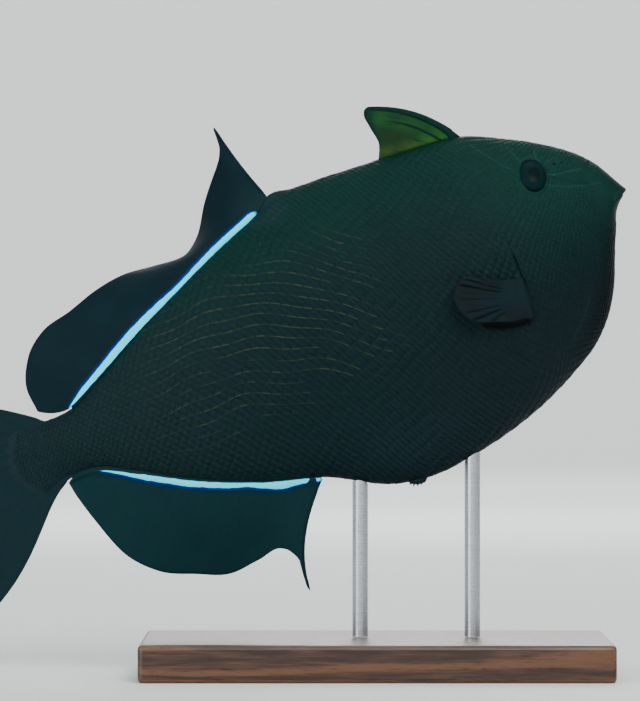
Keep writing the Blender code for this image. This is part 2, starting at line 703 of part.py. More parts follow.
def main():
    clear_scene()
    head()
    torso()
    tail_stalk()
    eye("eye_right", -1)
    eye("eye_left", 1)
    dorsal_shape = (SOFT_DORSAL_TIPS, SOFT_DORSAL_BOW, SOFT_DORSAL_RAYS)
    median_fin("soft_dorsal_fin", SOFT_DORSAL_ROOT, back_edge, 1, *dorsal_shape)
    median_fin("anal_fin", ANAL_ROOT, belly_edge, -1, ANAL_TIPS, ANAL_BOW, ANAL_RAYS)
    caudal_fin()
    pectoral_fin("pectoral_fin_right", -1)
    pectoral_fin("pectoral_fin_left", 1)
    first_dorsal_fin()
    pelvic_spine()
    stand()


main()
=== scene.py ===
# The looks of a blackfin triggerfish on a display stand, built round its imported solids.
# The fish has its own lengths in millimetres: u back from the snout, v up from the mouth,
# y across, with its right side at minus y. inScene turns them to metres in the scene.

import math

import bpy
import numpy as np
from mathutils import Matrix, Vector


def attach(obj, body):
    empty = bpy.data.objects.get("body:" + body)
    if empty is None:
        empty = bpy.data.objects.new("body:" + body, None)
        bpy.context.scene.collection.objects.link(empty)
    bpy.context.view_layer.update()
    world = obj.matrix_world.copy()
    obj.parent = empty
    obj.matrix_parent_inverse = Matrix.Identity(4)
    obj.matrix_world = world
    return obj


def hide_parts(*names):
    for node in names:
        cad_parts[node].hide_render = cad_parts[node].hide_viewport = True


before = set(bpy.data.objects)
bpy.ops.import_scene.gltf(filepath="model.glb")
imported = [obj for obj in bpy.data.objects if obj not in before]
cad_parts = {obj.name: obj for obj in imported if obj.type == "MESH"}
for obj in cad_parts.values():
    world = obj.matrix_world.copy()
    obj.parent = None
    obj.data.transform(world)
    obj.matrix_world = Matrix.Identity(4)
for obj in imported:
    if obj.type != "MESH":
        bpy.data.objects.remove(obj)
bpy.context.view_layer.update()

body = {
    "pitch": math.radians(24.5),
    "snoutX": 80.0,
    "snoutZ": 155.0,
    "length": 201.0,
    "fleshEnd": 217.0,  # where the stalk's flesh has thinned out on the tail fin
    "stalkStart": 165.0,
    "stalkEndBulge": 3.0,
    "keelSharpness": 1.22,
    # outlines as (u, value)
    "back": [(0, 1.8), (1.25, 4.7), (2.45, 7.4), (3.9, 10.4), (6.3, 14.2), (8.5, 17.1), (17, 24.7), (28, 31.8),
             (40, 38.2), (57, 41.2), (75, 43.4), (92, 45.2), (104, 45.5), (112, 42.4), (125, 38.2),
             (145, 30.6), (165, 22.4), (180, 15), (190, 10.8), (201, 10.6), (210, 12.2), (220, 14.4)],
    "belly": [(0, -0.4), (1.2, -1.1), (3.5, -2.8), (5.5, -5.4), (7.2, -9.1), (10, -14.9), (17, -28.7),
              (26, -38.9), (40, -46.8), (60, -53.8), (80, -57.1), (93, -57.7), (108, -54.2), (125, -44),
              (145, -36.6), (165, -26.6), (180, -16.9), (190, -10.9), (201, -10), (210, -11.6), (220, -13.8)],
    "halfWidths": [(0, 3.8), (4, 6.6), (10, 9.4), (20, 13), (30, 16.4), (45, 20), (60, 21), (80, 20.4),
                   (100, 18.4), (120, 15), (140, 11.4), (160, 8.3), (180, 5.8), (201, 4.0), (206, 2.6),
                   (210, 1.45), (213, 0.78), (216, 0.48), (220, 0.4)],
    "widest": [(0, 0), (30, -3), (70, -6), (120, -4), (160, -1), (201, 0.4), (220, 0.4)],
}


# Small tools

def curveThrough(points):
    table = np.array(points, float)  # the first number of each point is where it lies, the rest its values
    along, values = table[:, 0], table[:, 1:]
    step = np.diff(along)
    slope = np.diff(values, axis=0) / step[:, None]
    inner = (slope[:-1] * step[1:, None] + slope[1:] * step[:-1, None]) / (step[1:] + step[:-1])[:, None]
    tangent = np.vstack([slope[:1], inner, slope[-1:]])

    def value(at):
        at = np.asarray(at, float)
        i = np.clip(np.searchsorted(along, at) - 1, 0, len(step) - 1)
        s = ((at - along[i]) / step[i])[..., None]
        start, end = values[i], values[i + 1]
        a, b = tangent[i] * step[i][..., None], tangent[i + 1] * step[i][..., None]
        return start + s * (a + s * (3 * (end - start) - 2 * a - b + s * (a + b - 2 * (end - start))))

    return value


def edgeCurve(points):
    curve = curveThrough([(math.sqrt(u), v) for u, v in points])
    return lambda u: curve(np.sqrt(np.maximum(u, 0)))[..., 0]


backEdge = edgeCurve(body["back"])
bellyEdge = edgeCurve(body["belly"])
halfWidth = edgeCurve(body["halfWidths"])
widestLevel = edgeCurve(body["widest"])


def smooth(low, high, value):
    share = np.clip((value - low) / (high - low), 0, 1)
    return share * share * (3 - 2 * share)


def hump(value, middle, width):
    return np.exp(-(((value - middle) / width) ** 2))


def unit(vectors):
    return vectors / np.maximum(np.linalg.norm(vectors, axis=-1, keepdims=True), 1e-12)


def inScene(points):
    u, v, y = points[..., 0], points[..., 1], points[..., 2]
    c, s = math.cos(body["pitch"]), math.sin(body["pitch"])
    x = body["snoutX"] - c * u - s * v
    z = body["snoutZ"] - s * u + c * v
    return np.stack([x, y, z], -1) / 1000


def skinPoint(u, turn):  # turn runs from the back down the right side, and on up the left
    level = widestLevel(u)
    edge = np.where(np.cos(turn) > 0, backEdge(u), bellyEdge(u))
    v = level + np.abs(np.cos(turn)) * (edge - level)
    side = np.abs(np.sin(turn)) ** body["keelSharpness"] * halfWidth(u)
    return np.stack([u + 0 * turn, v, -np.sign(np.sin(turn)) * side], -1)


def skinNormal(u, turn):
    inner = np.clip(turn, 0.03, math.pi - 0.03)  # not quite at the keels, where both sides meet
    along = skinPoint(u + 0.5, inner) - skinPoint(u - 0.5, inner)
    around = skinPoint(u, inner + 0.02) - skinPoint(u, inner - 0.02)
    return unit(np.cross(along, around))


def turnAt(u, v):
    level = widestLevel(u)
    edge = np.where(v > level, backEdge(u), bellyEdge(u))
    return np.arccos(np.clip((v - level) / np.abs(edge - level), -1, 1))


def flank(u, v):  # a point on the right flank
    return skinPoint(u, turnAt(u, v))


def distanceToLine(points, line):
    best = np.full(len(points), 1e9)
    for a, b in zip(line[:-1], line[1:]):
        ab = b - a
        share = np.clip(((points - a) @ ab) / (ab @ ab), 0, 1)
        best = np.minimum(best, np.linalg.norm(points - a - share[:, None] * ab, axis=1))
    return best


def gridFaces(rows, columns, closed=False, start=0):
    i, j = np.meshgrid(np.arange(rows - 1), np.arange(columns if closed else columns - 1), indexing="ij")
    here, beside = start + i * columns + j, start + i * columns + (j + 1) % columns
    return np.stack([here, beside, beside + columns, here + columns], -1).reshape(-1, 4)


def makeObject(name, points, faces, material, smoothAngle=180):
    mesh = bpy.data.meshes.new(name)
    mesh.from_pydata(np.asarray(points).tolist(), [], [list(map(int, f)) for f in faces])
    made = bpy.data.objects.new(name, mesh)
    bpy.context.scene.collection.objects.link(made)
    mesh.materials.append(material)
    mesh.shade_smooth()
    if smoothAngle < 180:
        mesh.set_sharp_from_angle(angle=math.radians(smoothAngle))
    return made


def setFloat(made, name, values):
    made.data.attributes.new(name, "FLOAT", "POINT").data.foreach_set("value", np.asarray(values, np.float32))


def setMap(made, name, places):
    layer = made.data.uv_layers.new(name=name)
    corners = np.zeros(len(made.data.loops), np.int32)
    made.data.loops.foreach_get("vertex_index", corners)
    layer.data.foreach_set("uv", np.asarray(places, np.float32)[corners].ravel())


def hexColour(text):
    values = [int(text[i:i + 2], 16) / 255 for i in (1, 3, 5)]
    return tuple(v / 12.92 if v <= 0.04045 else ((v + 0.055) / 1.055) ** 2.4 for v in values) + (1.0,)


def addNode(tree, kind, inputs=None, **settings):
    # inputs go by name or number: another node's socket is linked, anything else is set
    node = tree.nodes.new(kind)
    for name, value in settings.items():
        setattr(node, name, value)
    for name, value in (inputs or {}).items():
        if isinstance(value, bpy.types.NodeSocket):
            tree.links.new(value, node.inputs[name])
        else:
            node.inputs[name].default_value = value
    return node


def newMaterial(name):
    made = bpy.data.materials.new(name)
    made.use_nodes = True
    return made, made.node_tree, made.node_tree.nodes["Principled BSDF"]


# Materials

def shareWhere(tree, ramps, most=1.0):
    # the product of some shares: each is a share already, or (value, where it starts, where it is full)
    total = None
    for ramp in ramps:
        share = ramp
        if isinstance(ramp, tuple):
            inputs = dict(enumerate(ramp))
            inputs[4] = most if total is None else 1.0
            share = addNode(tree, "ShaderNodeMapRange", inputs, interpolation_type="SMOOTHSTEP").outputs[0]
        if total is not None:
            share = addNode(tree, "ShaderNodeMath", {0: total, 1: share}, operation="MULTIPLY").outputs[0]
        total = share
    return total


def paintOver(tree, under, over, ramps, most=1.0):
    # lays a colour over another, at most so far, where all the ramps are up
    inputs = {0: shareWhere(tree, ramps, most)}
    for socket, colour in ((6, under), (7, over)):
        inputs[socket] = hexColour(colour) if isinstance(colour, str) else colour
    return addNode(tree, "ShaderNodeMix", inputs, data_type="RGBA").outputs[2]


def finishLook(tree, shader, colour, bump, roughness, spread=None):
    # bump is (height, strength, depth in metres), spread is (value, from, to, smoother by, rougher by)
    tree.links.new(colour, shader.inputs["Base Color"])
    inputs = {"Height": bump[0], "Strength": bump[1], "Distance": bump[2]}
    tree.links.new(addNode(tree, "ShaderNodeBump", inputs).outputs["Normal"], shader.inputs["Normal"])
    shader.inputs["Roughness"].default_value = roughness
    if spread:
        inputs = dict(enumerate((*spread[:3], roughness - spread[3], roughness + spread[4])))
        rough = addNode(tree, "ShaderNodeMapRange", inputs, interpolation_type="SMOOTHSTEP").outputs[0]
        tree.links.new(rough, shader.inputs["Roughness"])


gillSlit = [(41.7, -3.6), (41.9, -8.8), (42.1, -13.9)]
gillSlitTop = [(41.7, 1.6), (41.7, -3.6)]
# this line also carries a painted shadow below the pectoral fin, besides the fold
axil = [(46.6, -25.0), (50.4, -24.1), (54.7, -22.2), (58.6, -20.2)]  # the fold below the pectoral fin

skinLook = {
    "back": "#052722",
    "flank": "#061B1D",
    "belly": "#112227",
    "forehead": "#052E26",
    "stalk": "#112326",
    # painted shade: the lower front of the head and the flank under the pectoral fin drawn darker, where shade
    # falls
    "lowerCheek": "#0A1518",
    # the chin's underside: a darker tone of its own, with painted shade where it turns away from the light
    "chin": "#030B0D",
    "finRoot": "#152A2C",
    "tailRoot": "#112428",
    # painted shade: the mouth's dark red inside, deepened to near black, also laid on the lips' inner edge
    "mouthInside": "#120D10",
    "headLine": "#23504C",
    # painted shade: the dark inside the gill slit and the painted shadow below the pectoral fin
    "slit": "#010506",
    "dash": "#38412F",
    "roughness": 0.5,
    "gloss": 0.06,
    "mottleSize": 14.0,
    "mottleShift": 22.0,  # how far the mottling moves the borders between the colours
    "cloudsPerMm": 0.45,
    "grainSize": 0.35,
    # pale lines of the head as (points in u and v, strength)
    "headLines": [
        ([(21.4, 15.7), (18.8, 14.3), (15.6, 13.7), (12.4, 13.1), (9.9, 12.7)], 0.27),
        ([(23.3, 13.0), (21.1, 11.3), (17.5, 9.5), (13.8, 8.0), (10, 6.8), (6, 5.9)], 0.22),
        ([(39.3, 34.2), (35.4, 27.8), (33.9, 25.4), (32.6, 23.4), (30.8, 21.7)], 0.22),
        ([(28.9, 28.5), (28.0, 25.7), (27.0, 22.8)], 0.22),
        ([(21.2, 24.4), (21.9, 22.0), (21.4, 20.1)], 0.22),
        ([(19.6, 19.2), (17.4, 19.4), (15.3, 19.0)], 0.2),
        ([(24.4, -25.6), (29.6, -31.4), (35, -36)], 0.12),
    ],
}


def fishPlace(tree):
    # Object coordinates turned to the fish's own lengths in millimetres: u, y, v
    c, s = math.cos(body["pitch"]), math.sin(body["pitch"])
    x, z = body["snoutX"], body["snoutZ"]
    inputs = {
        "Vector": addNode(tree, "ShaderNodeTexCoord").outputs["Object"],
        "Location": (c * x + s * z, 0, s * x - c * z),
        "Rotation": (0, -body["pitch"], 0),
        "Scale": (-1000, 1000, 1000),
    }
    return addNode(tree, "ShaderNodeMapping", inputs).outputs["Vector"]


def nearLines(tree, flat, lines, full, none):
    # how near a place is to the nearest of the lines, by strength
    total = None
    for points, strength in lines:
        for a, b in zip(points[:-1], points[1:]):
            start, ahead = Vector((a[0], 0, a[1])), Vector((b[0] - a[0], 0, b[1] - a[1]))
            off = addNode(tree, "ShaderNodeVectorMath", {0: flat, 1: start}, operation="SUBTRACT").outputs[0]
            inputs = {0: off, 1: ahead / ahead.length_squared}
            share = addNode(tree, "ShaderNodeVectorMath", inputs, operation="DOT_PRODUCT").outputs["Value"]
            inputs = {0: ahead, "Scale": addNode(tree, "ShaderNodeClamp", {0: share}).outputs[0]}
            on = addNode(tree, "ShaderNodeVectorMath", inputs, operation="SCALE").outputs[0]
            gap = addNode(tree, "ShaderNodeVectorMath", {0: off, 1: on}, operation="DISTANCE").outputs["Value"]
            line = shareWhere(tree, [(gap, none, full)], strength)
            if total is not None:
                line = addNode(tree, "ShaderNodeMath", {0: total, 1: line}, operation="MAXIMUM").outputs[0]
            total = line
    return total


def paintedSkin(name):
    # Live fish skin: small rough plates under a thin film, so a satin surface with no sharp highlight. Its colours
    # carry painted shade on the lower head, the chin, in the mouth and gill slit, and below the pectoral fin
    made, tree, shader = newMaterial(name)
    place = fishPlace(tree)
    u, y, v = addNode(tree, "ShaderNodeSeparateXYZ", {0: place}).outputs
    inputs = {"Vector": place, "Scale": 1 / skinLook["mottleSize"], "Detail": 4.0, "Roughness": 0.6}
    mottle = addNode(tree, "ShaderNodeTexNoise", inputs).outputs["Fac"]
    inputs = {0: mottle, 1: skinLook["mottleShift"], 2: v}
    level = addNode(tree, "ShaderNodeMath", inputs, operation="MULTIPLY_ADD").outputs[0]
    inputs = {"Vector": place, "Scale": skinLook["cloudsPerMm"], "Detail": 3.0}
    clouds = addNode(tree, "ShaderNodeTexNoise", inputs).outputs["Fac"]
    side = addNode(tree, "ShaderNodeMath", {0: y}, operation="ABSOLUTE").outputs[0]
    flat = addNode(tree, "ShaderNodeVectorMath", {0: place, 1: (1, 0, 1)}, operation="MULTIPLY").outputs[0]
    keel, pale, inside = (addNode(tree, "ShaderNodeAttribute", attribute_name=mark).outputs["Fac"]
                          for mark in ("keel", "pale", "inside"))
    coats = [  # from the lowest up: the colour, how much of it at most, and where
        ("back", 1.0, (level, 12, 50)),
        ("belly", 1.0, (level, -4, -42)),
        ("stalk", 0.8, (u, 105, 184)),
        # painted shade over the lower head and under the pectoral fin
        ("lowerCheek", 0.55, (u, 104, 52), (v, -4, -28)),
        ("tailRoot", 1.0, (u, 199, 211)),
        ("forehead", 1.0, (u, 60, 20), (v, -22, 22)),
        ("belly", 0.22, (clouds, 0.3, 0.75)),
        # the chin's own darker tone, with painted shade on its underside
        ("chin", 0.8, (side, 10.5, 5.0), (u, 44, 24), (v, -4, -12)),
        ("finRoot", 0.8, (u, 97, 105), (u, 118, 110), (v, 35, 40)),
        ("headLine", 1.0, nearLines(tree, flat, skinLook["headLines"], 0.05, 0.42)),
        # painted shade inside the gill slit
        ("slit", 1.0, nearLines(tree, flat, [(gillSlit, 0.95), (gillSlitTop, 0.5)], 0.06, 0.34)),
        # painted shadow below the pectoral fin, along its fold
        ("slit", 1.0, nearLines(tree, flat, [(axil, 0.8)], 0.2, 2.0)),
        ("dash", 1.0, (keel, 0.88, 0.96), pale),
        # painted shade inside the mouth and on the lips' inner edge
        ("mouthInside", 1.0, inside),
    ]
    colour = skinLook["flank"]
    for coat, most, *ramps in coats:
        colour = paintOver(tree, colour, skinLook[coat], ramps, most)
    inputs = {"Vector": place, "Scale": 1 / skinLook["grainSize"], "Detail": 2.0}
    grain = addNode(tree, "ShaderNodeTexNoise", inputs).outputs["Fac"]
    spread = (clouds, 0.25, 0.75, 0.07, 0.08)
    finishLook(tree, shader, colour, (grain, 0.35, 0.00012), skinLook["roughness"], spread)
    shader.inputs["Specular IOR Level"].default_value = skinLook["gloss"]
    return made


finLook = {
    "membrane": "#0F1F25",
    "rayTint": "#10252C",
    "anal": "#102A2D",
    "analTint": "#113236",
    "caudal": "#142529",
    "pectoral": "#151D1E",
    "pectoralLine": "#030A10",
    "rays": "#102127",
    "spines": "#0A2A1F",
    "stripe": "#3AE6FF",
    "stripeEdge": "#08216C",
    "margin": "#AFCBD6",
    "roughness": 0.48,
    "gloss": 0.015,
}


def finSpot(tree):
    # a fin's own map, with the share across it and the height up it in mm
    spot = addNode(tree, "ShaderNodeUVMap", uv_map="finMap").outputs["UV"]
    across, up, _ = addNode(tree, "ShaderNodeSeparateXYZ", {0: spot}).outputs
    return spot, across, addNode(tree, "ShaderNodeMath", {0: up, 1: 100.0}, operation="MULTIPLY").outputs[0]


def finMembrane(name, base, striped=False, margin=0.0, tint="rayTint"):
    # Thin wet skin between rays: nearly black, satin
    made, tree, shader = newMaterial(name)
    place = fishPlace(tree)
    ray = addNode(tree, "ShaderNodeAttribute", attribute_name="ray").outputs["Fac"]
    inputs = {"Vector": place, "Scale": 0.09, "Detail": 4.0}
    mottle = addNode(tree, "ShaderNodeTexNoise", inputs).outputs["Fac"]
    colour = paintOver(tree, finLook[base], finLook["rayTint"], [(mottle, 0.35, 0.7)], 0.5)
    colour = paintOver(tree, colour, finLook[tint], [(ray, 0.1, 0.9)])
    if striped:
        height = finSpot(tree)[2]
        along = addNode(tree, "ShaderNodeSeparateXYZ", {0: place}).outputs[0]
        # the soft dorsal fin's front is as pale as the back that it rises from
        colour = paintOver(tree, colour, skinLook["finRoot"], [(along, 122, 110), (height, 14.0, 2.0)], 0.7)
        wave = addNode(tree, "ShaderNodeTexNoise", {"Vector": place, "Scale": 0.5}).outputs["Fac"]
        edge = addNode(tree, "ShaderNodeMath", {0: wave, 1: 0.5, 2: height}, operation="MULTIPLY_ADD").outputs[0]
        stripe, low, high = (addNode(tree, "ShaderNodeAttribute", attribute_name=mark).outputs["Fac"]
                             for mark in ("stripe", "stripeFrom", "stripeTo"))
        above, over = (addNode(tree, "ShaderNodeMath", {0: edge, 1: end}, operation="SUBTRACT").outputs[0]
                       for end in (low, high))
        bright = shareWhere(tree, [stripe, (above, 0.1, 0.4)])
        colour = paintOver(tree, colour, finLook["stripeEdge"], [bright, (over, 1.45, 0.75)])
        colour = paintOver(tree, colour, finLook["stripe"], [bright, (over, 0.45, 0.05)])
    if margin:
        border = addNode(tree, "ShaderNodeAttribute", attribute_name="border").outputs["Fac"]
        colour = paintOver(tree, colour, finLook["margin"], [(border, 0.3, 0.7)], margin)
    inputs = {"Vector": place, "Scale": 2.5, "Detail": 2.0}
    grain = addNode(tree, "ShaderNodeTexNoise", inputs).outputs["Fac"]
    finishLook(tree, shader, colour, (grain, 0.3, 0.0001), finLook["roughness"])
    shader.inputs["Specular IOR Level"].default_value = finLook["gloss"]
    return made


spinyLook = {
    "front": "#15401D",
    "rear": "#152E16",
    "frontRoot": "#1B501A",
    "rearRoot": "#2C4512",
    "edge": "#05241B",
    "dark": "#020B07",
    "roughness": 0.5,
    "gloss": 0.06,
}


def olivePaintedFin(name):
    # The first dorsal fin's skin: translucent olive green, darker at the spines and at its edge
    made, tree, shader = newMaterial(name)
    spot, across, height = finSpot(tree)
    inputs = {"Vector": fishPlace(tree), "Scale": 0.16, "Detail": 5.0}
    mottle = addNode(tree, "ShaderNodeTexNoise", inputs).outputs["Fac"]
    drawn = addNode(tree, "ShaderNodeMapping", {"Vector": spot, "Scale": (26.0, 2.0, 1.0)}).outputs[0]
    inputs = {"Vector": drawn, "Scale": 1.0, "Detail": 3.0}
    streaks = addNode(tree, "ShaderNodeTexNoise", inputs).outputs["Fac"]
    both = addNode(tree, "ShaderNodeMath", {0: streaks, 1: 0.6, 2: mottle}, operation="MULTIPLY_ADD").outputs[0]
    uneven = addNode(tree, "ShaderNodeMath", {0: both, 1: 0.2, 2: across}, operation="MULTIPLY_ADD").outputs[0]
    border, ray = (addNode(tree, "ShaderNodeAttribute", attribute_name=mark).outputs["Fac"]
                   for mark in ("border", "ray"))
    root = paintOver(tree, spinyLook["frontRoot"], spinyLook["rearRoot"], [(across, 0.25, 0.6)])
    colour = paintOver(tree, spinyLook["front"], spinyLook["rear"], [(uneven, 0.42, 0.6)])
    colour = paintOver(tree, colour, root, [(height, 7.0, 1.0)], 0.8)
    colour = paintOver(tree, colour, spinyLook["edge"], [(both, 0.95, 0.55)], 0.75)
    colour = paintOver(tree, colour, spinyLook["edge"], [border])
    colour = paintOver(tree, colour, spinyLook["dark"], [(ray, 0.2, 0.9)], 0.85)
    finishLook(tree, shader, colour, (streaks, 0.3, 0.0002), spinyLook["roughness"])
    shader.inputs["Specular IOR Level"].default_value = spinyLook["gloss"]
    return made


eyeLook = {
    "pupil": "#061816",
    "iris": "#0A201C",
    "irisOuter": "#071D21",
    "rim": "#041519",
    "pupilShare": 0.36,
    "irisShare": 0.8,
    "rimShare": (0.78, 0.86),
    # the shader's own sockets
    "wet": {"Roughness": 0.4, "Specular IOR Level": 0.02, "Coat Weight": 0.016, "Coat Roughness": 0.08,
            "Coat IOR": 1.38},
}


def wetEye(name):
    # A fish's eye: a dark pupil and iris with fine streaks, under a clear cornea whose gloss the coat gives
    made, tree, shader = newMaterial(name)
    share, turn = (addNode(tree, "ShaderNodeAttribute", attribute_name=mark).outputs["Fac"]
                   for mark in ("fromAxis", "roundAxis"))
    spread = addNode(tree, "ShaderNodeCombineXYZ", {0: turn, 1: share}).outputs[0]
    inputs = {"Vector": spread, "Scale": 9.0, "Detail": 4.0}
    streaks = addNode(tree, "ShaderNodeTexNoise", inputs).outputs["Fac"]
    noisy = addNode(tree, "ShaderNodeMath", {0: streaks, 1: 0.12, 2: share}, operation="MULTIPLY_ADD").outputs[0]
    pupil = eyeLook["pupilShare"]
    colour = paintOver(tree, eyeLook["iris"], eyeLook["irisOuter"], [(noisy, pupil, eyeLook["irisShare"])])
    colour = paintOver(tree, colour, eyeLook["rim"], [(share, *eyeLook["rimShare"])])
    colour = paintOver(tree, colour, eyeLook["pupil"], [(share, pupil + 0.02, pupil - 0.02)])
    tree.links.new(colour, shader.inputs["Base Color"])
    for socket, value in eyeLook["wet"].items():
        shader.inputs[socket].default_value = value
    return made


woodLook = {"light": "#5A3A24", "dark": "#2C1A10", "pore": "#1A0F0A", "ringWidth": 9.0, "roughness": 0.32}


def varnishedWalnut(name):
    # Planed walnut with a satin varnish: grain along the base's length, fine dark pores
    made, tree, shader = newMaterial(name)
    place = addNode(tree, "ShaderNodeTexCoord").outputs["Object"]
    inMm = addNode(tree, "ShaderNodeMapping", {"Vector": place, "Scale": (1000, 1000, 1000)}).outputs[0]
    inputs = {"Vector": inMm, "Scale": (0.06, 1, 1), "Rotation": (0.5, 0.02, 0.03)}
    drawn = addNode(tree, "ShaderNodeMapping", inputs).outputs[0]
    inputs = {"Vector": drawn, "Scale": 0.05, "Detail": 3.0}
    inputs = {0: addNode(tree, "ShaderNodeTexNoise", inputs).outputs["Color"], 1: (14, 14, 14), 2: drawn}
    bent = addNode(tree, "ShaderNodeVectorMath", inputs, operation="MULTIPLY_ADD").outputs[0]
    inputs = {"Vector": bent, "Scale": 1 / woodLook["ringWidth"], "Distortion": 2.0, "Detail": 3.0}
    rings = addNode(tree, "ShaderNodeTexWave", inputs, bands_direction="Y").outputs["Fac"]
    fibre, pores = (addNode(tree, "ShaderNodeTexNoise", {"Vector": drawn, "Scale": s, "Detail": d}).outputs["Fac"]
                    for s, d in ((1.1, 4.0), (3.2, 1.0)))
    blend = addNode(tree, "ShaderNodeMath", {0: rings, 1: 0.5, 2: fibre}, operation="MULTIPLY_ADD").outputs[0]
    colour = paintOver(tree, woodLook["dark"], woodLook["light"], [(blend, 0.4, 1.0)])
    colour = paintOver(tree, colour, woodLook["pore"], [(pores, 0.62, 0.7)], 0.7)
    finishLook(tree, shader, colour, (fibre, 0.15, 0.0002), woodLook["roughness"], (fibre, 0.3, 0.7, 0.05, 0.08))
    return made


steelLook = {"light": "#C4C7CB", "dark": "#A8ACB0", "brushWidth": 0.12, "roughness": 0.3}


def brushedSteel(name):
    # Turned and brushed stainless steel: fine rings round the rod
    made, tree, shader = newMaterial(name)
    place = addNode(tree, "ShaderNodeTexCoord").outputs["Object"]
    inputs = {"Vector": place, "Scale": (60, 60, 1000 / steelLook["brushWidth"])}
    drawn = addNode(tree, "ShaderNodeMapping", inputs).outputs[0]
    inputs = {"Vector": drawn, "Scale": 1.0, "Detail": 3.0}
    brush = addNode(tree, "ShaderNodeTexNoise", inputs).outputs["Fac"]
    colour = paintOver(tree, steelLook["dark"], steelLook["light"], [(brush, 0.3, 0.7)])
    finishLook(tree, shader, colour, (brush, 0.2, 0.00005), steelLook["roughness"], (brush, 0.3, 0.7, 0.06, 0.1))
    shader.inputs["Metallic"].default_value = 1.0
    return made


# The skin, one closed surface from the mouth to the tail

skin = {
    "inset": 0.3,
    "around": 288,
    "blendEnd": 12.0,
    "headStep": 0.36,
    "headEnd": 47.0,
    "bodyStep": 1.7,
    "mouthCorner": 5.2,
    "mouthHalf": 6.6,
    # each lip as (how far back its middle lies, radius, height of its middle)
    "upperLip": (0.05, 0.68, 0.78),
    "lowerLip": (1.35, 0.5, -0.46),
    "cornerDrop": 1.7,
    # rings inside the mouth as (how far in, angle, size)
    "mouthRings": [(5.0, -60, 0.4), (3.2, -75, 0.8), (1.4, -100, 1.0)],
    "lipAngles": (-90, -75, -60, -45, -30, -15, 0, 15, 30, 42),
    # how far the small forms stand out or sink in
    "eyeRim": 0.6,
    "eyeSocket": 3.2,
    "nostrilRim": 0.28,
    "nostril": 0.9,
    "groove": 0.4,
    "gillCover": 0.3,
    "gillSlit": 1.0,
    "finRoot": 0.55,
    "axil": 0.8,
    "dorsalFold": 1.5,
}
eye = {
    "place": (25.2, 17.0), "radius": 5.7, "halfDepth": 3.6, "sink": 1.9, "oval": 1.19,
    "rings": 36, "segments": 64,
}
nostrils = [(17.2, 17.6), (14.8, 17.0)]
groove = [(19.4, 13.8), (8.8, 6.2)]
pectoralRoot = [(43.2, -11.2), (44.8, -24.4)]


def linePoints(ends, count):
    ends = np.array(ends, float)
    steps = np.linspace(0, len(ends) - 1, count)
    return flank(*(np.interp(steps, range(len(ends)), values) for values in ends.T))


eyeU, eyeV = (np.array([value]) for value in eye["place"])
eyeCentre = flank(eyeU, eyeV)[0]
eyeAxis = skinNormal(eyeU, turnAt(eyeU, eyeV))[0]
eyeTall = np.array([-math.sin(body["pitch"]), math.cos(body["pitch"]), 0])
eyeTall = unit(eyeTall - eyeAxis * (eyeTall @ eyeAxis))
eyeOpening = eye["radius"] * math.sqrt(1 - (eye["sink"] / eye["halfDepth"]) ** 2)
nostrilPoints = [flank(np.array([u]), np.array([v]))[0] for u, v in nostrils]
groovePoints = linePoints(groove, 9)
slitPoints = linePoints(gillSlit, 9)
rootPoints = linePoints(pectoralRoot, 7)
axilPoints = linePoints(axil, 9)


def fromEye(points):  # distance from the eye's middle, in an oval that stands upright
    off = points - eyeCentre
    along, tall, wide = off @ eyeAxis, off @ eyeTall, off @ np.cross(eyeAxis, eyeTall)
    return np.where(along > -6, np.hypot(tall / eye["oval"], wide * eye["oval"]), 99.0)  # none on the left side


def insetAt(u):  # how far the skin lies inside the body's outline, to leave room for the plates
    return skin["inset"] * smooth(3.0, 12.0, u)


def skinRelief(points):  # how far the skin stands out or sinks in at points of the right side
    gap = fromEye(points)
    out = skin["eyeRim"] * hump(gap, eyeOpening + 0.55, 0.5)
    out -= skin["eyeSocket"] * smooth(eyeOpening + 0.1, eyeOpening - 0.75, gap)
    for spot in nostrilPoints:
        away = np.linalg.norm(points - spot, axis=1)
        out += skin["nostrilRim"] * hump(away, 0.85, 0.3) - skin["nostril"] * smooth(0.65, 0.2, away)
    out -= skin["groove"] * smooth(0.6, 0.1, distanceToLine(points, groovePoints))
    away = distanceToLine(points, slitPoints)
    ahead = points[:, 0] < np.interp(points[:, 1], (-13.9, -3.6), (42.1, 41.7))
    out += skin["gillCover"] * ahead * hump(away, 0.7, 0.6) - skin["gillSlit"] * smooth(0.38, 0.06, away)
    out += skin["finRoot"] * smooth(2.4, 0.4, distanceToLine(points, rootPoints))
    out -= skin["axil"] * smooth(1.7, 0.3, distanceToLine(points, axilPoints))
    # the low fold of flesh in front of the soft dorsal fin
    u, v, y = points.T
    out += skin["dorsalFold"] * smooth(97, 104, u) * smooth(109, 105.5, u) * smooth(2.8, 0.6, np.abs(y)) * (v > 0)
    return out


def lipRing(angle, inward, turns, shrink=1.0):
    # a ring along both lips: angle runs over each lip's outside, inward moves it back into the mouth
    c, s = np.abs(np.cos(turns)), np.sin(turns)
    full = c ** 0.7
    upper = np.cos(turns) > 0
    lips = [np.array(skin[name])[:, None] for name in ("upperLip", "lowerLip")]
    back, radius, height = np.where(upper, *lips)
    front = skin["upperLip"][0]
    r = radius * (0.12 + 0.88 * full) * shrink
    out, up = r * math.cos(math.radians(angle)), r * math.sin(math.radians(angle))
    u = (front + (back - front) * full + inward - out) * c + (skin["mouthCorner"] + 0.35 * inward) * (1 - c)
    v = height * full + np.where(upper, up, -up) - skin["cornerDrop"] * (1 - c)
    y = -(skin["mouthHalf"] - 0.4 * inward + out) * s
    return np.stack([u, v, y], -1)


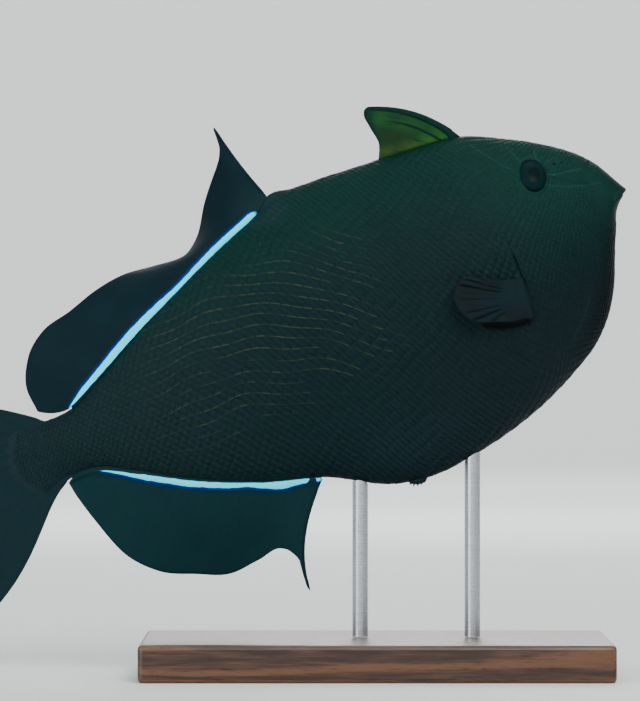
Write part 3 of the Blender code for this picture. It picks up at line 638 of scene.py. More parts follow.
def skinRings():
    raw = np.linspace(0, 2 * math.pi, 4001)
    dense = 1 + 1.2 * hump(np.minimum(raw, 2 * math.pi - raw), 0.95, 0.32)  # closer at the height of the eyes
    total = np.concatenate([[0], np.cumsum((dense[1:] + dense[:-1]) / 2)])
    turns = np.interp(np.arange(skin["around"]) / skin["around"] * total[-1], total, raw)
    # each ring with how much of the mouth's painted shade it takes: any trace of that keeps the relief off
    rings = [(lipRing(angle, inward, turns, shrink), 1.0) for inward, angle, shrink in skin["mouthRings"]]
    rings += [(lipRing(angle, 0.0, turns), 0.7 if angle == -90 else 0.001) for angle in skin["lipAngles"]]
    # from the lips to the first plane ring, along the body's surface
    lip = rings[-1][0]
    s = np.abs(np.sin(turns))
    startU = lip[:, 0] + 1.4 - 0.4 * s
    share = np.minimum(skin["mouthHalf"] / halfWidth(startU), 1)
    ratio = s * share + (1 - share) * s ** 10
    near = np.arcsin(np.clip(ratio, 0, 1) ** (1 / body["keelSharpness"]))
    quarter = np.floor(turns / (math.pi / 2)).astype(int)
    startTurn = np.choose(quarter, [near, math.pi - near, math.pi + near, 2 * math.pi - near])
    rings += [(lip + (skinPoint(startU, startTurn) - lip) * k / 4, 0.0) for k in (1, 2, 3)]
    steps = int(skin["blendEnd"] / skin["headStep"])
    for t in np.arange(steps) / steps:
        turn = startTurn + (turns - startTurn) * smooth(0, 1, t)
        rings.append((skinPoint(startU + (skin["blendEnd"] - startU) * t, turn), 0.0))
    middles = list(np.arange(skin["blendEnd"], skin["headEnd"], skin["headStep"]))
    step = skin["headStep"]
    while middles[-1] < body["fleshEnd"]:
        step = min(step * 1.12, skin["bodyStep"])
        middles.append(middles[-1] + step)
    middles[-1] = body["fleshEnd"]
    for middle in middles:
        share = (middle - body["stalkStart"]) / (body["length"] - body["stalkStart"])
        bulge = body["stalkEndBulge"] * min(max(share, 0), 1) ** 2
        ring = skinPoint(middle - bulge * np.cos(turns) ** 2, turns)
        ring[:, 2] += 0.001 * np.maximum(ring[:, 0] - body["length"] - 2, 0) ** 2  # with the tail fin's own bend
        rings.append((ring, 0.0))
    rings.append((ring * (1, 1, 0) + (0.3, 0, 0.2), 0.001))
    places, inside = zip(*rings)
    return np.array(places), np.repeat(inside, skin["around"])


def makeSkin(material):
    rings, inside = skinRings()
    count = skin["around"]
    around = np.roll(rings, -1, axis=1) - np.roll(rings, 1, axis=1)
    normals = unit(np.cross(np.gradient(rings, axis=0), around)).reshape(-1, 3)
    points = rings.reshape(-1, 3)
    onRight = np.column_stack([points[:, :2], -np.abs(points[:, 2])])
    relief = (skinRelief(onRight) - insetAt(points[:, 0])) * (inside == 0)
    points = points + normals * relief[:, None]
    faces = gridFaces(len(rings), count, closed=True)[:, ::-1].tolist()
    faces.append(list(range(count)))
    faces.append(list(range(len(points) - 1, len(points) - count - 1, -1)))
    made = makeObject("skin", inScene(points), faces, material)
    setFloat(made, "inside", inside)
    # the same pale dashes as on the plates
    lattice = Lattice()
    u, v = points[:, 0], points[:, 1]
    column, row = lattice.number(u, lattice.girthAt(u, turnAt(u, v)))
    even = 2 * np.round(row / 2)
    setFloat(made, "keel", 1 - np.minimum(np.abs(row - even), 1))
    setFloat(made, "pale", paleRuns(column, even, u, v) * (inside == 0))
    return made


# Scales: plates in slanted rows over the skin

scaleLook = {
    "columnStep": 2.8,
    "rowStep": 1.85,
    "plateShare": 0.985,
    "topShare": 0.82,
    "sunk": 0.05,
    "height": 0.07,
    "keelHeight": 0.04,
    "rearKeelHeight": 0.14,
    # how large the plates are, and how steeply their rows run, at lengths from the snout
    "size": [(0, 0.44), (12, 0.46), (30, 0.6), (46, 0.95), (60, 1), (140, 1), (168, 0.9), (195, 0.62),
             (203, 0.55), (217, 0.45)],
    "slope": [(0, 0), (20, 0), (40, 0.15), (60, 0.5), (84, 0.9), (100, 0.9), (111, 0.5), (127, 0.42),
              (140, 0.12), (170, 0.05), (203, 0), (217, 0)],
    # slow waves in the rows as (height, turns per mm along, turns per row, start)
    "waves": [(0.5, 0.3, 0.35, 0.0), (0.4, 0.17, -0.22, 1.3)],
    "headEnd": 90.0,
    "headLevel": -8.0,  # the girth that the head's rows draw together at
    "jitter": 0.035,  # of a plate's corners, in columns and rows
    "unevenLift": 0.02,
    # the few large plates behind the gill slit, as (u, v) of their middle and how far they reach
    "largeAt": (46.5, -6.0),
    "largeReach": (4.0, 5.0),
    # where the pale runs lie: faded in and out along u, and in and out up v
    "paleAlong": ((78, 92), (178, 150)),
    "paleUp": ((-25, -14), (35, 22)),
    "seed": 11,
}


class Lattice:
    # Numbers the plates: column along the body, row from belly to back, both measured on the skin
    def __init__(self):
        self.u = np.linspace(0.5, 217, 867)
        self.size = curveThrough(scaleLook["size"])
        step = np.gradient(self.u)
        self.column = np.cumsum(step / (scaleLook["columnStep"] * self.size(self.u)[:, 0]))
        rise = np.cumsum(curveThrough(scaleLook["slope"])(self.u)[:, 0] * step)
        self.rise = rise - np.interp(130, self.u, rise)
        turns = np.linspace(0, math.pi, 361)
        self.girth = np.linspace(-75, 75, 601)
        self.turnTable = np.zeros((len(self.u), len(self.girth)))
        self.reach = np.zeros((len(self.u), 2))
        for k, u in enumerate(self.u):
            ring = skinPoint(np.full(len(turns), u), turns)
            length = np.concatenate([[0], np.cumsum(np.linalg.norm(np.diff(ring, axis=0), axis=1))])
            girth = float(widestLevel(u)) + np.interp(math.pi / 2, turns, length) - length
            self.turnTable[k] = np.interp(self.girth, girth[::-1], turns[::-1])
            self.reach[k] = girth[-1], girth[0]

    def centre(self, u):
        return np.where(u < scaleLook["headEnd"], scaleLook["headLevel"], 0.0)

    def wave(self, u, row):
        return sum(h * np.sin(a * u + b * row + c) for h, a, b, c in scaleLook["waves"]) * smooth(60, 85, u)

    def place(self, column, row):
        u = np.interp(column, self.column, self.u)
        level = scaleLook["rowStep"] * row + np.interp(u, self.u, self.rise) + self.wave(u, row) - self.centre(u)
        girth = self.centre(u) + self.size(u)[..., 0] * level
        k = np.clip((u - self.u[0]) / (self.u[1] - self.u[0]), 0, len(self.u) - 1.001)
        m = np.clip((girth - self.girth[0]) / (self.girth[1] - self.girth[0]), 0, len(self.girth) - 1.001)
        i, j = k.astype(int), m.astype(int)
        a, b = k - i, m - j
        below, above = (self.turnTable[i, n] * (1 - a) + self.turnTable[i + 1, n] * a for n in (j, j + 1))
        low, high = (np.interp(u, self.u, edge) for edge in self.reach.T)
        return u, below * (1 - b) + above * b, girth, (girth > low) & (girth < high)

    def girthAt(self, u, turn):
        k = np.clip(np.round((u - self.u[0]) / (self.u[1] - self.u[0])), 0, len(self.u) - 1).astype(int)
        out = np.zeros(len(u))
        for n in np.unique(k):
            on = k == n
            out[on] = np.interp(-turn[on], -self.turnTable[n], self.girth)
        return out

    def number(self, u, girth):  # the other way round: column and row of a place on the skin
        centre = self.centre(u)
        level = (girth - centre) / self.size(u)[..., 0] + centre - np.interp(u, self.u, self.rise)
        row = level / scaleLook["rowStep"]
        for _ in range(4):
            row = (level - self.wave(u, row)) / scaleLook["rowStep"]
        return np.interp(u, self.u, self.column), row


def bareOfScales(points):
    u, v, y = points.T
    bare = fromEye(points) < eyeOpening + 2.0
    for spot in nostrilPoints:
        bare |= np.linalg.norm(points - spot, axis=1) < 1.3
    for line, gap in ((groovePoints, 0.9), (slitPoints, 1.2), (rootPoints, 1.6), (axilPoints, 1.0)):
        bare |= distanceToLine(points, line) < gap
    bare |= (u < 9.5) & (v < 9 + 0.3 * u) & (v > -8)  # round the mouth
    bare |= (u < 4) | (u > 214.6 - 6.5 * np.cos(turnAt(u, v)) ** 2)
    # leave the fins' fleshy roots free
    roots = [(1.5, 104, 198, 1), (2.6, 97.5, 108, 1), (1.5, 125, 198, -1), (1.5, 40, 67, 1)]
    for half, start, end, side in roots:
        bare |= (np.abs(y) < half) & (u > start) & (u < end) & (v * side > 0)
    return bare


def paleRuns(columns, rows, u, v):
    # pale broken lines along every other row, in the middle of the flank
    draw = np.random.default_rng(scaleLook["seed"])
    cell = rows.astype(int) % 80, np.floor(columns).astype(int) % 120
    field = draw.random((80, 120))
    level = (sum(np.roll(field, k, 1) for k in range(6)) / 6)[cell]
    spot = draw.random((80, 120))[cell]
    region = 1.0
    for (start, end), along in ((scaleLook["paleAlong"], u), (scaleLook["paleUp"], v)):
        region = region * smooth(*start, along) * smooth(*end, along)
    # level sets where a run of dashes shows, spot how strong each dash is
    value = smooth(0.32, 0.47, level) * region * (0.22 + 0.58 * smooth(0.15, 0.85, spot))
    return np.where(rows.astype(int) % 2 == 0, value, 0.0)


def makeScales(material):
    lattice = Lattice()
    rows = np.arange(-110, 131)
    columns = np.arange(1, int(lattice.column[-1]))
    grid = np.stack(np.meshgrid(columns, rows, indexing="ij"), -1).reshape(-1, 2).astype(float)
    grid[:, 0] += (grid[:, 1] % 2) * 0.5
    u, turn, girth, on = lattice.place(grid[:, 0], grid[:, 1])
    centres = skinPoint(u, turn)
    keep = on & ~bareOfScales(centres) & (turn > 0.02) & (turn < math.pi - 0.02)
    grid, u, turn, girth, centres = (values[keep] for values in (grid, u, turn, girth, centres))
    draw = np.random.default_rng(scaleLook["seed"] + 1)
    jitter = draw.normal(0, scaleLook["jitter"], (len(grid), 8, 2))
    lift = draw.normal(0, scaleLook["unevenLift"], len(grid))
    # corners and edge middles of a plate, as offsets in column and row, with the corners drawn in
    corners = [(0.5, 0), (0.25, 0.5), (0, 1), (-0.25, 0.5), (-0.5, 0), (-0.25, -0.5), (0, -1), (0.25, -0.5)]
    shape = np.array(corners) * np.array([0.93, 1.03] * 4)[:, None]
    away = (centres[:, :2] - scaleLook["largeAt"]) / scaleLook["largeReach"]
    large = np.exp(-(away ** 2).sum(1)) > 0.4
    rearShare = smooth(120, 185, u)
    keelHeight = scaleLook["keelHeight"] + (scaleLook["rearKeelHeight"] - scaleLook["keelHeight"]) * rearShare
    size = lattice.size(u)[:, 0]
    layers = []
    levels = [(scaleLook["plateShare"], -scaleLook["sunk"]), (scaleLook["topShare"], scaleLook["height"])]
    for share, height in levels:
        offsets = (shape + jitter * 0.5) * share * (1 + 0.08 * large)[:, None, None]
        layerU, layerTurn, _, _ = lattice.place(*np.moveaxis(grid[:, None] + offsets, -1, 0))
        out = height * (0.55 + 0.45 * size)[:, None] - insetAt(layerU)
        if height > 0:
            out += (1 - np.abs(offsets[..., 1])) * keelHeight[:, None] + (lift + 0.1 * large)[:, None]
        layers.append(skinPoint(layerU, layerTurn) + skinNormal(layerU, layerTurn) * out[..., None])
    out = scaleLook["height"] * (0.6 + 0.45 * size) + lift + keelHeight + 0.22 * large - insetAt(u)
    points = np.concatenate([*layers, (centres + skinNormal(u, turn) * out[:, None])[:, None]], 1)
    faces = [[7, 6, 5, 4, 3, 2, 1, 0]]
    for k in range(8):  # points 0 to 7 lie below, 8 to 15 on top, and 16 in the middle of the top
        n = (k + 1) % 8
        faces += [[k, n, 8 + n, 8 + k], [8 + k, 8 + n, 16]]
    pale = paleRuns(grid[:, 0], grid[:, 1], centres[:, 0], centres[:, 1])
    keel = np.concatenate([1 - np.abs(shape[:, 1]), 1 - np.abs(shape[:, 1] * 0.8), [1.0]])
    local = np.concatenate([shape * (2, 1), shape * (1.6, 0.8), [(0, 0)]])
    # each plate has its own small place in the map
    root = np.stack([0.03 + 0.94 * centres[:, 0] / 220, 0.5 + 0.94 * girth / 140], -1)
    made = []
    for side, name in ((1, "scales_right"), (-1, "scales_left")):
        order = [f[::-1] for f in faces] if side == 1 else faces
        allFaces = [[i + 17 * n for i in f] for n in range(len(grid)) for f in order]
        places = inScene((points * (1, 1, side)).reshape(-1, 3))
        piece = makeObject(name, places, allFaces, material, smoothAngle=50)
        setFloat(piece, "keel", np.tile(keel, len(grid)))
        setFloat(piece, "pale", np.repeat(pale, 17))
        setMap(piece, "OFBake", (root[:, None, :] + local[None] * 0.0015).reshape(-1, 2))
        made.append(piece)
    print("scales:", len(grid), "a side")
    return made


# Fins: tips are (share across, u, v, y), bow is (share across, u, v)

softDorsal = {
    "rays": 31, "root": (105.0, 190.3), "trail": 0.0, "edge": backEdge, "up": 1,
    "tips": [(0, 111.3, 73.4, 0), (0.012, 112.0, 72.6, 0), (0.02, 112.3, 68.4, 0), (0.035, 113.5, 65, 0.5),
             (0.06, 115.6, 62.2, 2.5), (0.09, 118.1, 59.7, 5), (0.16, 124.3, 53.2, 11), (0.23, 130.9, 44.6, 16.5),
             (0.3, 138, 40.2, 18.5), (0.4, 148, 41.6, 18), (0.5, 158, 43, 15), (0.6, 168, 42, 11),
             (0.7, 178.5, 39.2, 7), (0.8, 189, 36.8, 3), (0.88, 196.5, 31, 0.5), (0.95, 201, 22, 0),
             (1, 200.8, 14, 0)],
    "bow": [(0, 0.9, 0), (0.1, 0.4, 0), (0.3, 0, 0), (0.8, 0, 0), (1, 0, -1.6)],
    # the stripe's ends, and its lower and upper edge at lengths from the snout
    "stripeSpan": (110.5, 190.5),
    "stripeFrom": [(110, -0.8), (150, -0.7), (166, -0.6), (182, 0.1), (190, 0.4)],
    "stripeTo": [(110.5, 0.1), (111.3, 0.8), (113, 1.1), (120, 1.0), (133, 0.75), (141, 0.5), (145.5, 0.72),
                 (152, 1.25), (159, 1.7), (170, 1.9), (183.7, 2.05), (188, 1.6), (190.5, 0.8)],
    # the stiff leading ray as (share of its length, radius)
    "filament": [(0, 0.5), (0.6, 0.45), (0.9, 0.4), (0.97, 0.34), (1, 0.12)],
}
anal = {
    "rays": 28, "root": (126.7, 191), "edge": bellyEdge, "up": -1,
    "trail": 8.6,  # how far its last rays root further back
    "tips": [(0, 144.9, -74.9, 0), (0.008, 145.3, -73.2, 0), (0.016, 145.2, -70.6, 0), (0.025, 144.6, -67.6, 0),
             (0.036, 144.1, -64.6, 0), (0.055, 145.2, -61.2, 0.8), (0.09, 147.6, -58.6, 2), (0.18, 156, -58.9, 5),
             (0.3, 166, -59.2, 7), (0.45, 176.5, -54.6, 6), (0.6, 187, -48.6, 4), (0.72, 194.2, -39.5, 2),
             (0.84, 198.4, -26, 0.5), (0.93, 200.6, -16, 0), (1, 201.2, -11.0, 0)],
    "bow": [(0, 5.5, 0), (0.05, 4.3, 0), (0.15, 1.8, 0), (0.4, 0, 0), (1, 0, 0)],
    "stripeSpan": (126.7, 190),
    "stripeFrom": [(127, -0.5), (150, -0.4), (166, -0.3), (182, 0.3), (190, 0.6)],
    "stripeTo": [(126.6, 0.6), (128.2, 0.7), (128.5, -1.2), (130.3, -1.2), (130.6, 1.1), (132, 1.3), (135, 1.9),
                 (137.5, 2.4), (140.5, 2.0), (143, 1.5), (148.8, 0.95), (154.6, 1.4), (160.4, 1.55), (166, 1.75),
                 (171.5, 1.75), (177.2, 1.9), (182.4, 1.5), (187.7, 1.2), (190, 0.6)],
    "filament": [(0, 0.5), (0.6, 0.42), (0.84, 0.36), (0.92, 0.6), (0.97, 0.5), (1, 0.12)],
}
caudal = {
    "rays": 12, "rootThick": 2.6, "rootShare": 0.99, "sunk": 2.6, "fleshy": 9.0,
    "tips": [(0, 241, 36.4, 0), (0.12, 244.7, 30, 0.6), (0.35, 247.1, 11, 1.2), (0.5, 247.5, -0.8, 1.4),
             (0.65, 247, -12.6, 1.2), (0.88, 243.8, -31.6, 0.6), (1, 239.6, -38, 0)],
    # the points that its rays bend towards, as (share across, u, v)
    "first": [(0, 208.5, 17.6), (0.25, 215, 9), (0.5, 216, 0), (0.75, 215, -7.4), (1, 211, -12.6)],
    "second": [(0, 224, 30), (0.25, 231, 14.6), (0.5, 232, 0), (0.75, 230, -14.4), (1, 217.5, -28)],
}
pectoral = {
    "rays": 13, "sunk": 0.9,
    "tips": [(0, 57.4, -3.9, 3.4), (0.15, 60.6, -4.1, 4.6), (0.35, 64, -6.8, 5.6), (0.5, 65, -9.4, 6),
             (0.68, 64.2, -13.4, 5.8), (0.82, 61.4, -17.2, 5.2), (0.92, 56.2, -19.6, 4.3), (1, 50.6, -22.0, 3.6)],
    "lineStrength": [0.6, 0.9, 0.85, 0.35, 0.5, 0.25, 0.6, 0.75, 0.7, 0.4],  # of the dark lines, from the top
}
firstDorsal = {
    "root": (41.2, 67.4), "sunk": 1.2,
    "tips": [(0, 63.8, 59.1, 0), (0.05, 65, 58.8, 0), (0.14, 66, 57.4, 0), (0.34, 66, 53.4, 0),
             (0.66, 65.4, 47.8, 0), (1, 66.2, 45.0, 0)],
    "bow": [(0, -2.1, 2.1), (0.1, -1.8, 1.8), (0.24, -1.3, 1.4), (0.42, -0.3, 0.6), (0.66, 0, 0.2), (1, 0, 0)],
    # each spine as (share of the root's length, radius at root, radius at tip, how far out it runs)
    "spines": [(0.05, 1.35, 0.55, 0.985), (0.24, 0.46, 0.14, 0.9), (0.42, 0.32, 0.12, 0.9)],
}
finMesh = {"thick": 0.36, "edgeThick": 0.22, "bandThick": 2.1, "bandHeight": 4.0, "sunk": 1.4, "rayRise": 0.16}
finRows = np.concatenate([np.linspace(0, 0.16, 9)[:-1], np.linspace(0.16, 1, 26)])


def bezier(a, b, c, d, r):
    return a * (1 - r) ** 3 + b * 3 * r * (1 - r) ** 2 + c * 3 * r ** 2 * (1 - r) + d * r ** 3


# Each fin's surface, at shares across it and out along its rays

def medianPoint(fin, t, r):
    u = fin["root"][0] + (fin["root"][1] - fin["root"][0]) * t
    u = u + fin["trail"] * np.clip((t - 0.85) / 0.15, 0, 1) ** 2
    start = np.stack([u, fin["edge"](u) + fin["up"] * 0.3, 0 * u], -1)
    end = curveThrough(fin["tips"])(t)
    reach = end - start
    up = np.hypot(reach[..., 1], reach[..., 2])
    upright = np.stack([reach[..., 0], fin["up"] * up, 0 * u], -1)
    length = np.linalg.norm(upright, axis=-1)
    lean = np.abs(reach[..., 2]) / up
    bow = curveThrough(fin["bow"])(t)
    bent = np.stack([bow[..., 0], bow[..., 1], 0 * u], -1)
    first = start + upright / length[..., None] * ((1 - lean) * length / 3 + lean * 4.5)[..., None] + bent
    arch = np.stack([0 * u, fin["up"] * lean * 2.6, 0 * u], -1)
    return bezier(start, first, start + reach * 0.64 + arch + bent, end, r[..., None])


def caudalPoint(fin, t, r):
    top, bottom = float(backEdge(body["length"])), float(bellyEdge(body["length"]))
    v = fin["rootShare"] * (top + (bottom - top) * t)
    height = (v - float(widestLevel(body["length"]))) / top
    u = body["length"] - body["stalkEndBulge"] * np.minimum(height ** 2, 1) + 2.0
    first, second, end = (curveThrough(fin[name])(t) for name in ("first", "second", "tips"))
    first = np.concatenate([first, 0 * first[..., :1]], -1)
    second = np.concatenate([second, end[..., 2:] / 2], -1)
    return bezier(np.stack([u, v, 0 * u], -1), first, second, end, r[..., None])


def pectoralPoint(fin, t, r):
    (topU, topV), (lowU, lowV) = pectoralRoot
    end = curveThrough(fin["tips"])(t)
    startU, startV = topU + (lowU - topU) * t, topV + (lowV - topV) * t
    sag = np.sin(math.pi * r ** 0.9) * (0.9 - 1.5 * t)
    u = startU + (end[..., 0] - startU) * r
    v = startV + (end[..., 1] - startV) * r - sag
    turn = turnAt(u, v)
    return skinPoint(u, turn) + skinNormal(u, turn) * (0.75 + end[..., 2] * r ** (1.3 - 0.5 * t))[..., None]


def firstDorsalPoint(fin, t, r):
    u = fin["root"][0] + (fin["root"][1] - fin["root"][0]) * t
    start = np.stack([u, backEdge(u) + 0.3, 0 * u], -1)
    bow = curveThrough(fin["bow"])(t)
    bent = np.concatenate([bow, 0 * bow[..., :1]], -1)
    out = r[..., None]
    return start * (1 - out) + curveThrough(fin["tips"])(t) * out + bent * 4 * out * (1 - out)


def rayRise(t, count):
    off = np.abs(t * (count - 1) - np.round(t * (count - 1)))
    return smooth(0.26, 0.02, off)


def makeSheet(name, shape, fin, material, columns, rows, thickness, sunk, mirror=False, inward=None):
    # a thin closed sheet over shares across and along, its root sunk into the body
    middle = shape(fin, *np.meshgrid(columns, rows, indexing="ij"))
    down = unit(middle[:, :1] - middle[:, 1:2]) if inward is None else np.array(inward)
    middle = np.concatenate([middle[:, :1] + down * sunk, middle], 1)
    t, r = np.meshgrid(columns, [0.0, *rows], indexing="ij")
    steps = np.linalg.norm(np.diff(middle, axis=1), axis=2)
    length = np.concatenate([0 * steps[:, :1], np.cumsum(steps, 1)], 1) - sunk
    half = thickness(t, r, length)[..., None] / 2
    normal = unit(np.cross(np.gradient(middle, axis=1), np.gradient(middle, axis=0)))
    points = np.concatenate([middle + normal * half, middle - normal * half]).reshape(-1, 3)
    number = np.arange(t.size).reshape(t.shape)
    rim = np.concatenate([number[0], number[1:, -1], number[-1, -2::-1], number[-2:0:-1, 0]])
    rimNext = np.roll(rim, -1)
    front = gridFaces(*t.shape)
    edge = np.stack([rimNext, rim, rim + t.size, rimNext + t.size], -1)
    faces = np.concatenate([front, front[:, ::-1] + t.size, edge])
    if mirror:
        points, faces = points * (1, 1, -1), faces[:, ::-1]
    made = makeObject(name, inScene(points), faces, material)
    setMap(made, "finMap", np.tile(np.stack([t.ravel(), 0.01 * length.ravel()], -1), (2, 1)))
    return made, middle, length


def markSheet(sheet, name, values):  # the same on both faces
    setFloat(sheet, name, np.tile(values.ravel(), 2))


def rayLines(shape, fin, split, thick, low, mirror=False, reach=0.985):
    # the paths of the rays: each one divides in two, and again, towards the edge
    lines = []
    pitch = 1 / (fin["rays"] - 1)
    first, second = split
    spread = pitch * 0.16
    share = np.linspace(0, 1, 10)
    for i in range(fin["rays"]):
        t = i * pitch
        # each branch as (share across at its start and end, share out at both, thickness at both)
        branches = [(t, t, low, first + 0.12, 1.0, 0.62)]
        if 0 < i < fin["rays"] - 1:
            for side in (-spread, spread):
                branches.append((t, t + side, first, second + 0.1, 0.7, 0.45))
                for twig in (-0.55 * spread, 0.55 * spread):
                    branches.append((t + side, t + side + twig, second, reach, 0.5, 0.25))
        else:
            branches.append((t, t, first, reach, 0.7, 0.3))
        for t0, t1, r0, r1, w0, w1 in branches:
            across = np.clip(t0 + (t1 - t0) * smooth(0, 0.8, share), 0, 1)
            points = shape(fin, across, r0 + (r1 - r0) * share) * (1, 1, -1 if mirror else 1)
            ends = smooth(0, 0.12, share + 0.04) * smooth(1.0, 0.75, share - 0.02)
            lines.append((points, thick * (w0 + (w1 - w0) * share) * (0.15 + 0.85 * ends)))
    return lines


def tubeTree(name, material, sides):
    # Geometry Nodes: a round bar along each path, as thick as the path's own attribute says
    tree = bpy.data.node_groups.new(name, "GeometryNodeTree")
    tree.interface.new_socket("Geometry", in_out="INPUT", socket_type="NodeSocketGeometry")
    thick = tree.interface.new_socket("Thickness", in_out="INPUT", socket_type="NodeSocketFloat")
    count = tree.interface.new_socket("Sides", in_out="INPUT", socket_type="NodeSocketInt")
    tree.interface.new_socket("Geometry", in_out="OUTPUT", socket_type="NodeSocketGeometry")
    thick.default_value, count.default_value = 1.0, sides
    start = addNode(tree, "NodeGroupInput").outputs
    path = addNode(tree, "GeometryNodeMeshToCurve", {"Mesh": start["Geometry"]}).outputs[0]
    width = addNode(tree, "GeometryNodeInputNamedAttribute", {"Name": "width"}, data_type="FLOAT").outputs[0]
    radius = addNode(tree, "ShaderNodeMath", {0: width, 1: start["Thickness"]}, operation="MULTIPLY").outputs[0]
    path = addNode(tree, "GeometryNodeSetCurveRadius", {"Curve": path, "Radius": radius}).outputs[0]
    inputs = {"Resolution": start["Sides"]}
    ring = addNode(tree, "GeometryNodeCurvePrimitiveCircle", inputs, mode="RADIUS").outputs[0]
    bars = addNode(tree, "GeometryNodeCurveToMesh", {"Curve": path, "Profile Curve": ring, "Fill Caps": True})
    if "Scale" in bars.inputs:
        tree.links.new(radius, bars.inputs["Scale"])
    smoothed = addNode(tree, "GeometryNodeSetShadeSmooth", {"Geometry": bars.outputs[0]}).outputs[0]
    real = addNode(tree, "GeometryNodeRealizeInstances", {"Geometry": smoothed}).outputs[0]
    painted = addNode(tree, "GeometryNodeSetMaterial", {"Geometry": real, "Material": material}).outputs[0]
    addNode(tree, "NodeGroupOutput", {0: painted})
    return tree


def makeBars(name, lines, material, sides=6):
    points, edges, widths = [], [], []
    for line, width in lines:
        edges += [(len(points) + k, len(points) + k + 1) for k in range(len(line) - 1)]
        points += inScene(line).tolist()
        widths += list(np.asarray(width) / 1000)
    mesh = bpy.data.meshes.new(name)
    mesh.from_pydata(points, edges, [])
    made = bpy.data.objects.new(name, mesh)
    bpy.context.scene.collection.objects.link(made)
    setFloat(made, "width", widths)
    tree = tubeTree(name + "Tree", material, sides)
    change = made.modifiers.new("bars", "NODES")
    change.node_group = tree
    for item in tree.interface.items_tree:
        if item.in_out == "INPUT" and item.name in ("Thickness", "Sides"):
            change[item.identifier] = item.default_value
    result = bpy.data.meshes.new_from_object(made.evaluated_get(bpy.context.evaluated_depsgraph_get()))
    made.modifiers.clear()
    made.data = result
    result.name = name
    return made


def fleshyThick(fin, band, fleshy):
    # thin skin that swells over its rays and into a fleshy band at its root
    def value(t, r, length):
        thin = finMesh["thick"] + (finMesh["edgeThick"] - finMesh["thick"]) * r
        thin = thin + finMesh["rayRise"] * rayRise(t, fin["rays"]) * (1 - r)
        return thin + (band - thin) * smooth(fleshy, 0.4, length) ** 1.3

    return value


def makeStripedFin(name, fin, skinMaterial, rayMaterial):
    columns = np.linspace(0, 1, (fin["rays"] - 1) * 6 + 1)
    thick = fleshyThick(fin, finMesh["bandThick"], finMesh["bandHeight"])
    sheet, middle, _ = makeSheet(name + "_membrane", medianPoint, fin, skinMaterial, columns, finRows, thick,
                                 finMesh["sunk"], inward=(0, -fin["up"], 0))
    rootU = middle[:, :1, 0] + 0 * middle[..., 0]
    low, high = fin["stripeSpan"]
    markSheet(sheet, "stripe", smooth(low - 0.3, low + 0.8, rootU) * smooth(high + 1, high - 1.5, rootU))
    for level in ("stripeFrom", "stripeTo"):
        markSheet(sheet, level, np.interp(rootU, *np.array(fin[level]).T))
    lines = rayLines(medianPoint, fin, (0.45, 0.72), 0.3, 0.05)
    share = np.linspace(0, 1, 40)
    filament = medianPoint(fin, np.full(40, 0.004), share)
    lines.append((filament, np.interp(share, *np.array(fin["filament"]).T)))
    return sheet, makeBars(name + "_rays", lines, rayMaterial)


def makeTailFin(skinMaterial, rayMaterial):
    columns = np.linspace(0, 1, (caudal["rays"] - 1) * 12 + 1)
    thick = fleshyThick(caudal, caudal["rootThick"], caudal["fleshy"])
    sheet, _, length = makeSheet("caudal_membrane", caudalPoint, caudal, skinMaterial, columns, finRows, thick,
                                 caudal["sunk"])
    markSheet(sheet, "border", smooth(1.5, 0.7, length[:, -1:] - length))
    return sheet, makeBars("caudal_rays", rayLines(caudalPoint, caudal, (0.3, 0.6), 0.36, 0.04), rayMaterial)


def makePectoralFin(side, material):
    columns, rows = np.linspace(0, 1, (pectoral["rays"] - 1) * 6 + 1), np.linspace(0, 1, 26)
    mirror = side == "left"

    def thick(t, r, length):
        return 0.34 - 0.12 * r + 0.9 * smooth(2.6, 0.0, length)

    sheet = makeSheet("pectoral_membrane_" + side, pectoralPoint, pectoral, material, columns, rows, thick,
                      pectoral["sunk"], mirror)[0]
    # dark lines that fan out from the root's middle
    across, out = columns[:, None], np.array([[0, *rows]])
    fanned = 9 * (0.45 + (across - 0.45) * (1 + 1.3 * (1 - out) ** 2))
    line = np.round(fanned)
    dark = np.interp(line, range(10), pectoral["lineStrength"]) * smooth(1.0, 0.93, across)
    dark *= smooth(0.3, 0.08, np.abs(fanned - line)) * smooth(0.2, 0.42, out) * smooth(1.02, 0.93, out)
    markSheet(sheet, "ray", dark)
    lines = rayLines(pectoralPoint, pectoral, (0.5, 0.8), 0.25, 0.06, mirror)
    return sheet, makeBars("pectoral_rays_" + side, lines, material)


def makeSpinyFin(skinMaterial, spineMaterial):
    columns, rows = np.linspace(0, 1, 121), np.linspace(0, 1, 31)

    def thick(t, r, length):
        return 0.45 + 0.5 * smooth(2.0, 0.0, length)

    sheet = makeSheet("first_dorsal_membrane", firstDorsalPoint, firstDorsal, skinMaterial, columns, rows, thick,
                      firstDorsal["sunk"])[0]
    across, out = columns[:, None], np.array([[0, *rows]])
    secondSpine = firstDorsal["spines"][1][0]
    markSheet(sheet, "ray", smooth(0.035, 0.01, np.abs(across - secondSpine)) * smooth(0.95, 0.3, out))
    markSheet(sheet, "border", np.maximum(smooth(0.86, 0.97, out), smooth(0.1, 0.02, across)))
    lines = []
    share = np.linspace(0, 1, 16)
    rounded = np.sqrt(1 - np.clip((share - 0.85) / 0.16, 0, 1) ** 2)
    for root, rootRadius, tipRadius, reach in firstDorsal["spines"]:
        line = firstDorsalPoint(firstDorsal, np.full(16, root), share * reach)
        line[0] += (0.4, -2.2, 0)
        lines.append((line, (rootRadius + (tipRadius - rootRadius) * share ** 0.8) * rounded))
    return sheet, makeBars("first_dorsal_spines", lines, spineMaterial, sides=14)


# Eyes and the pelvic spine

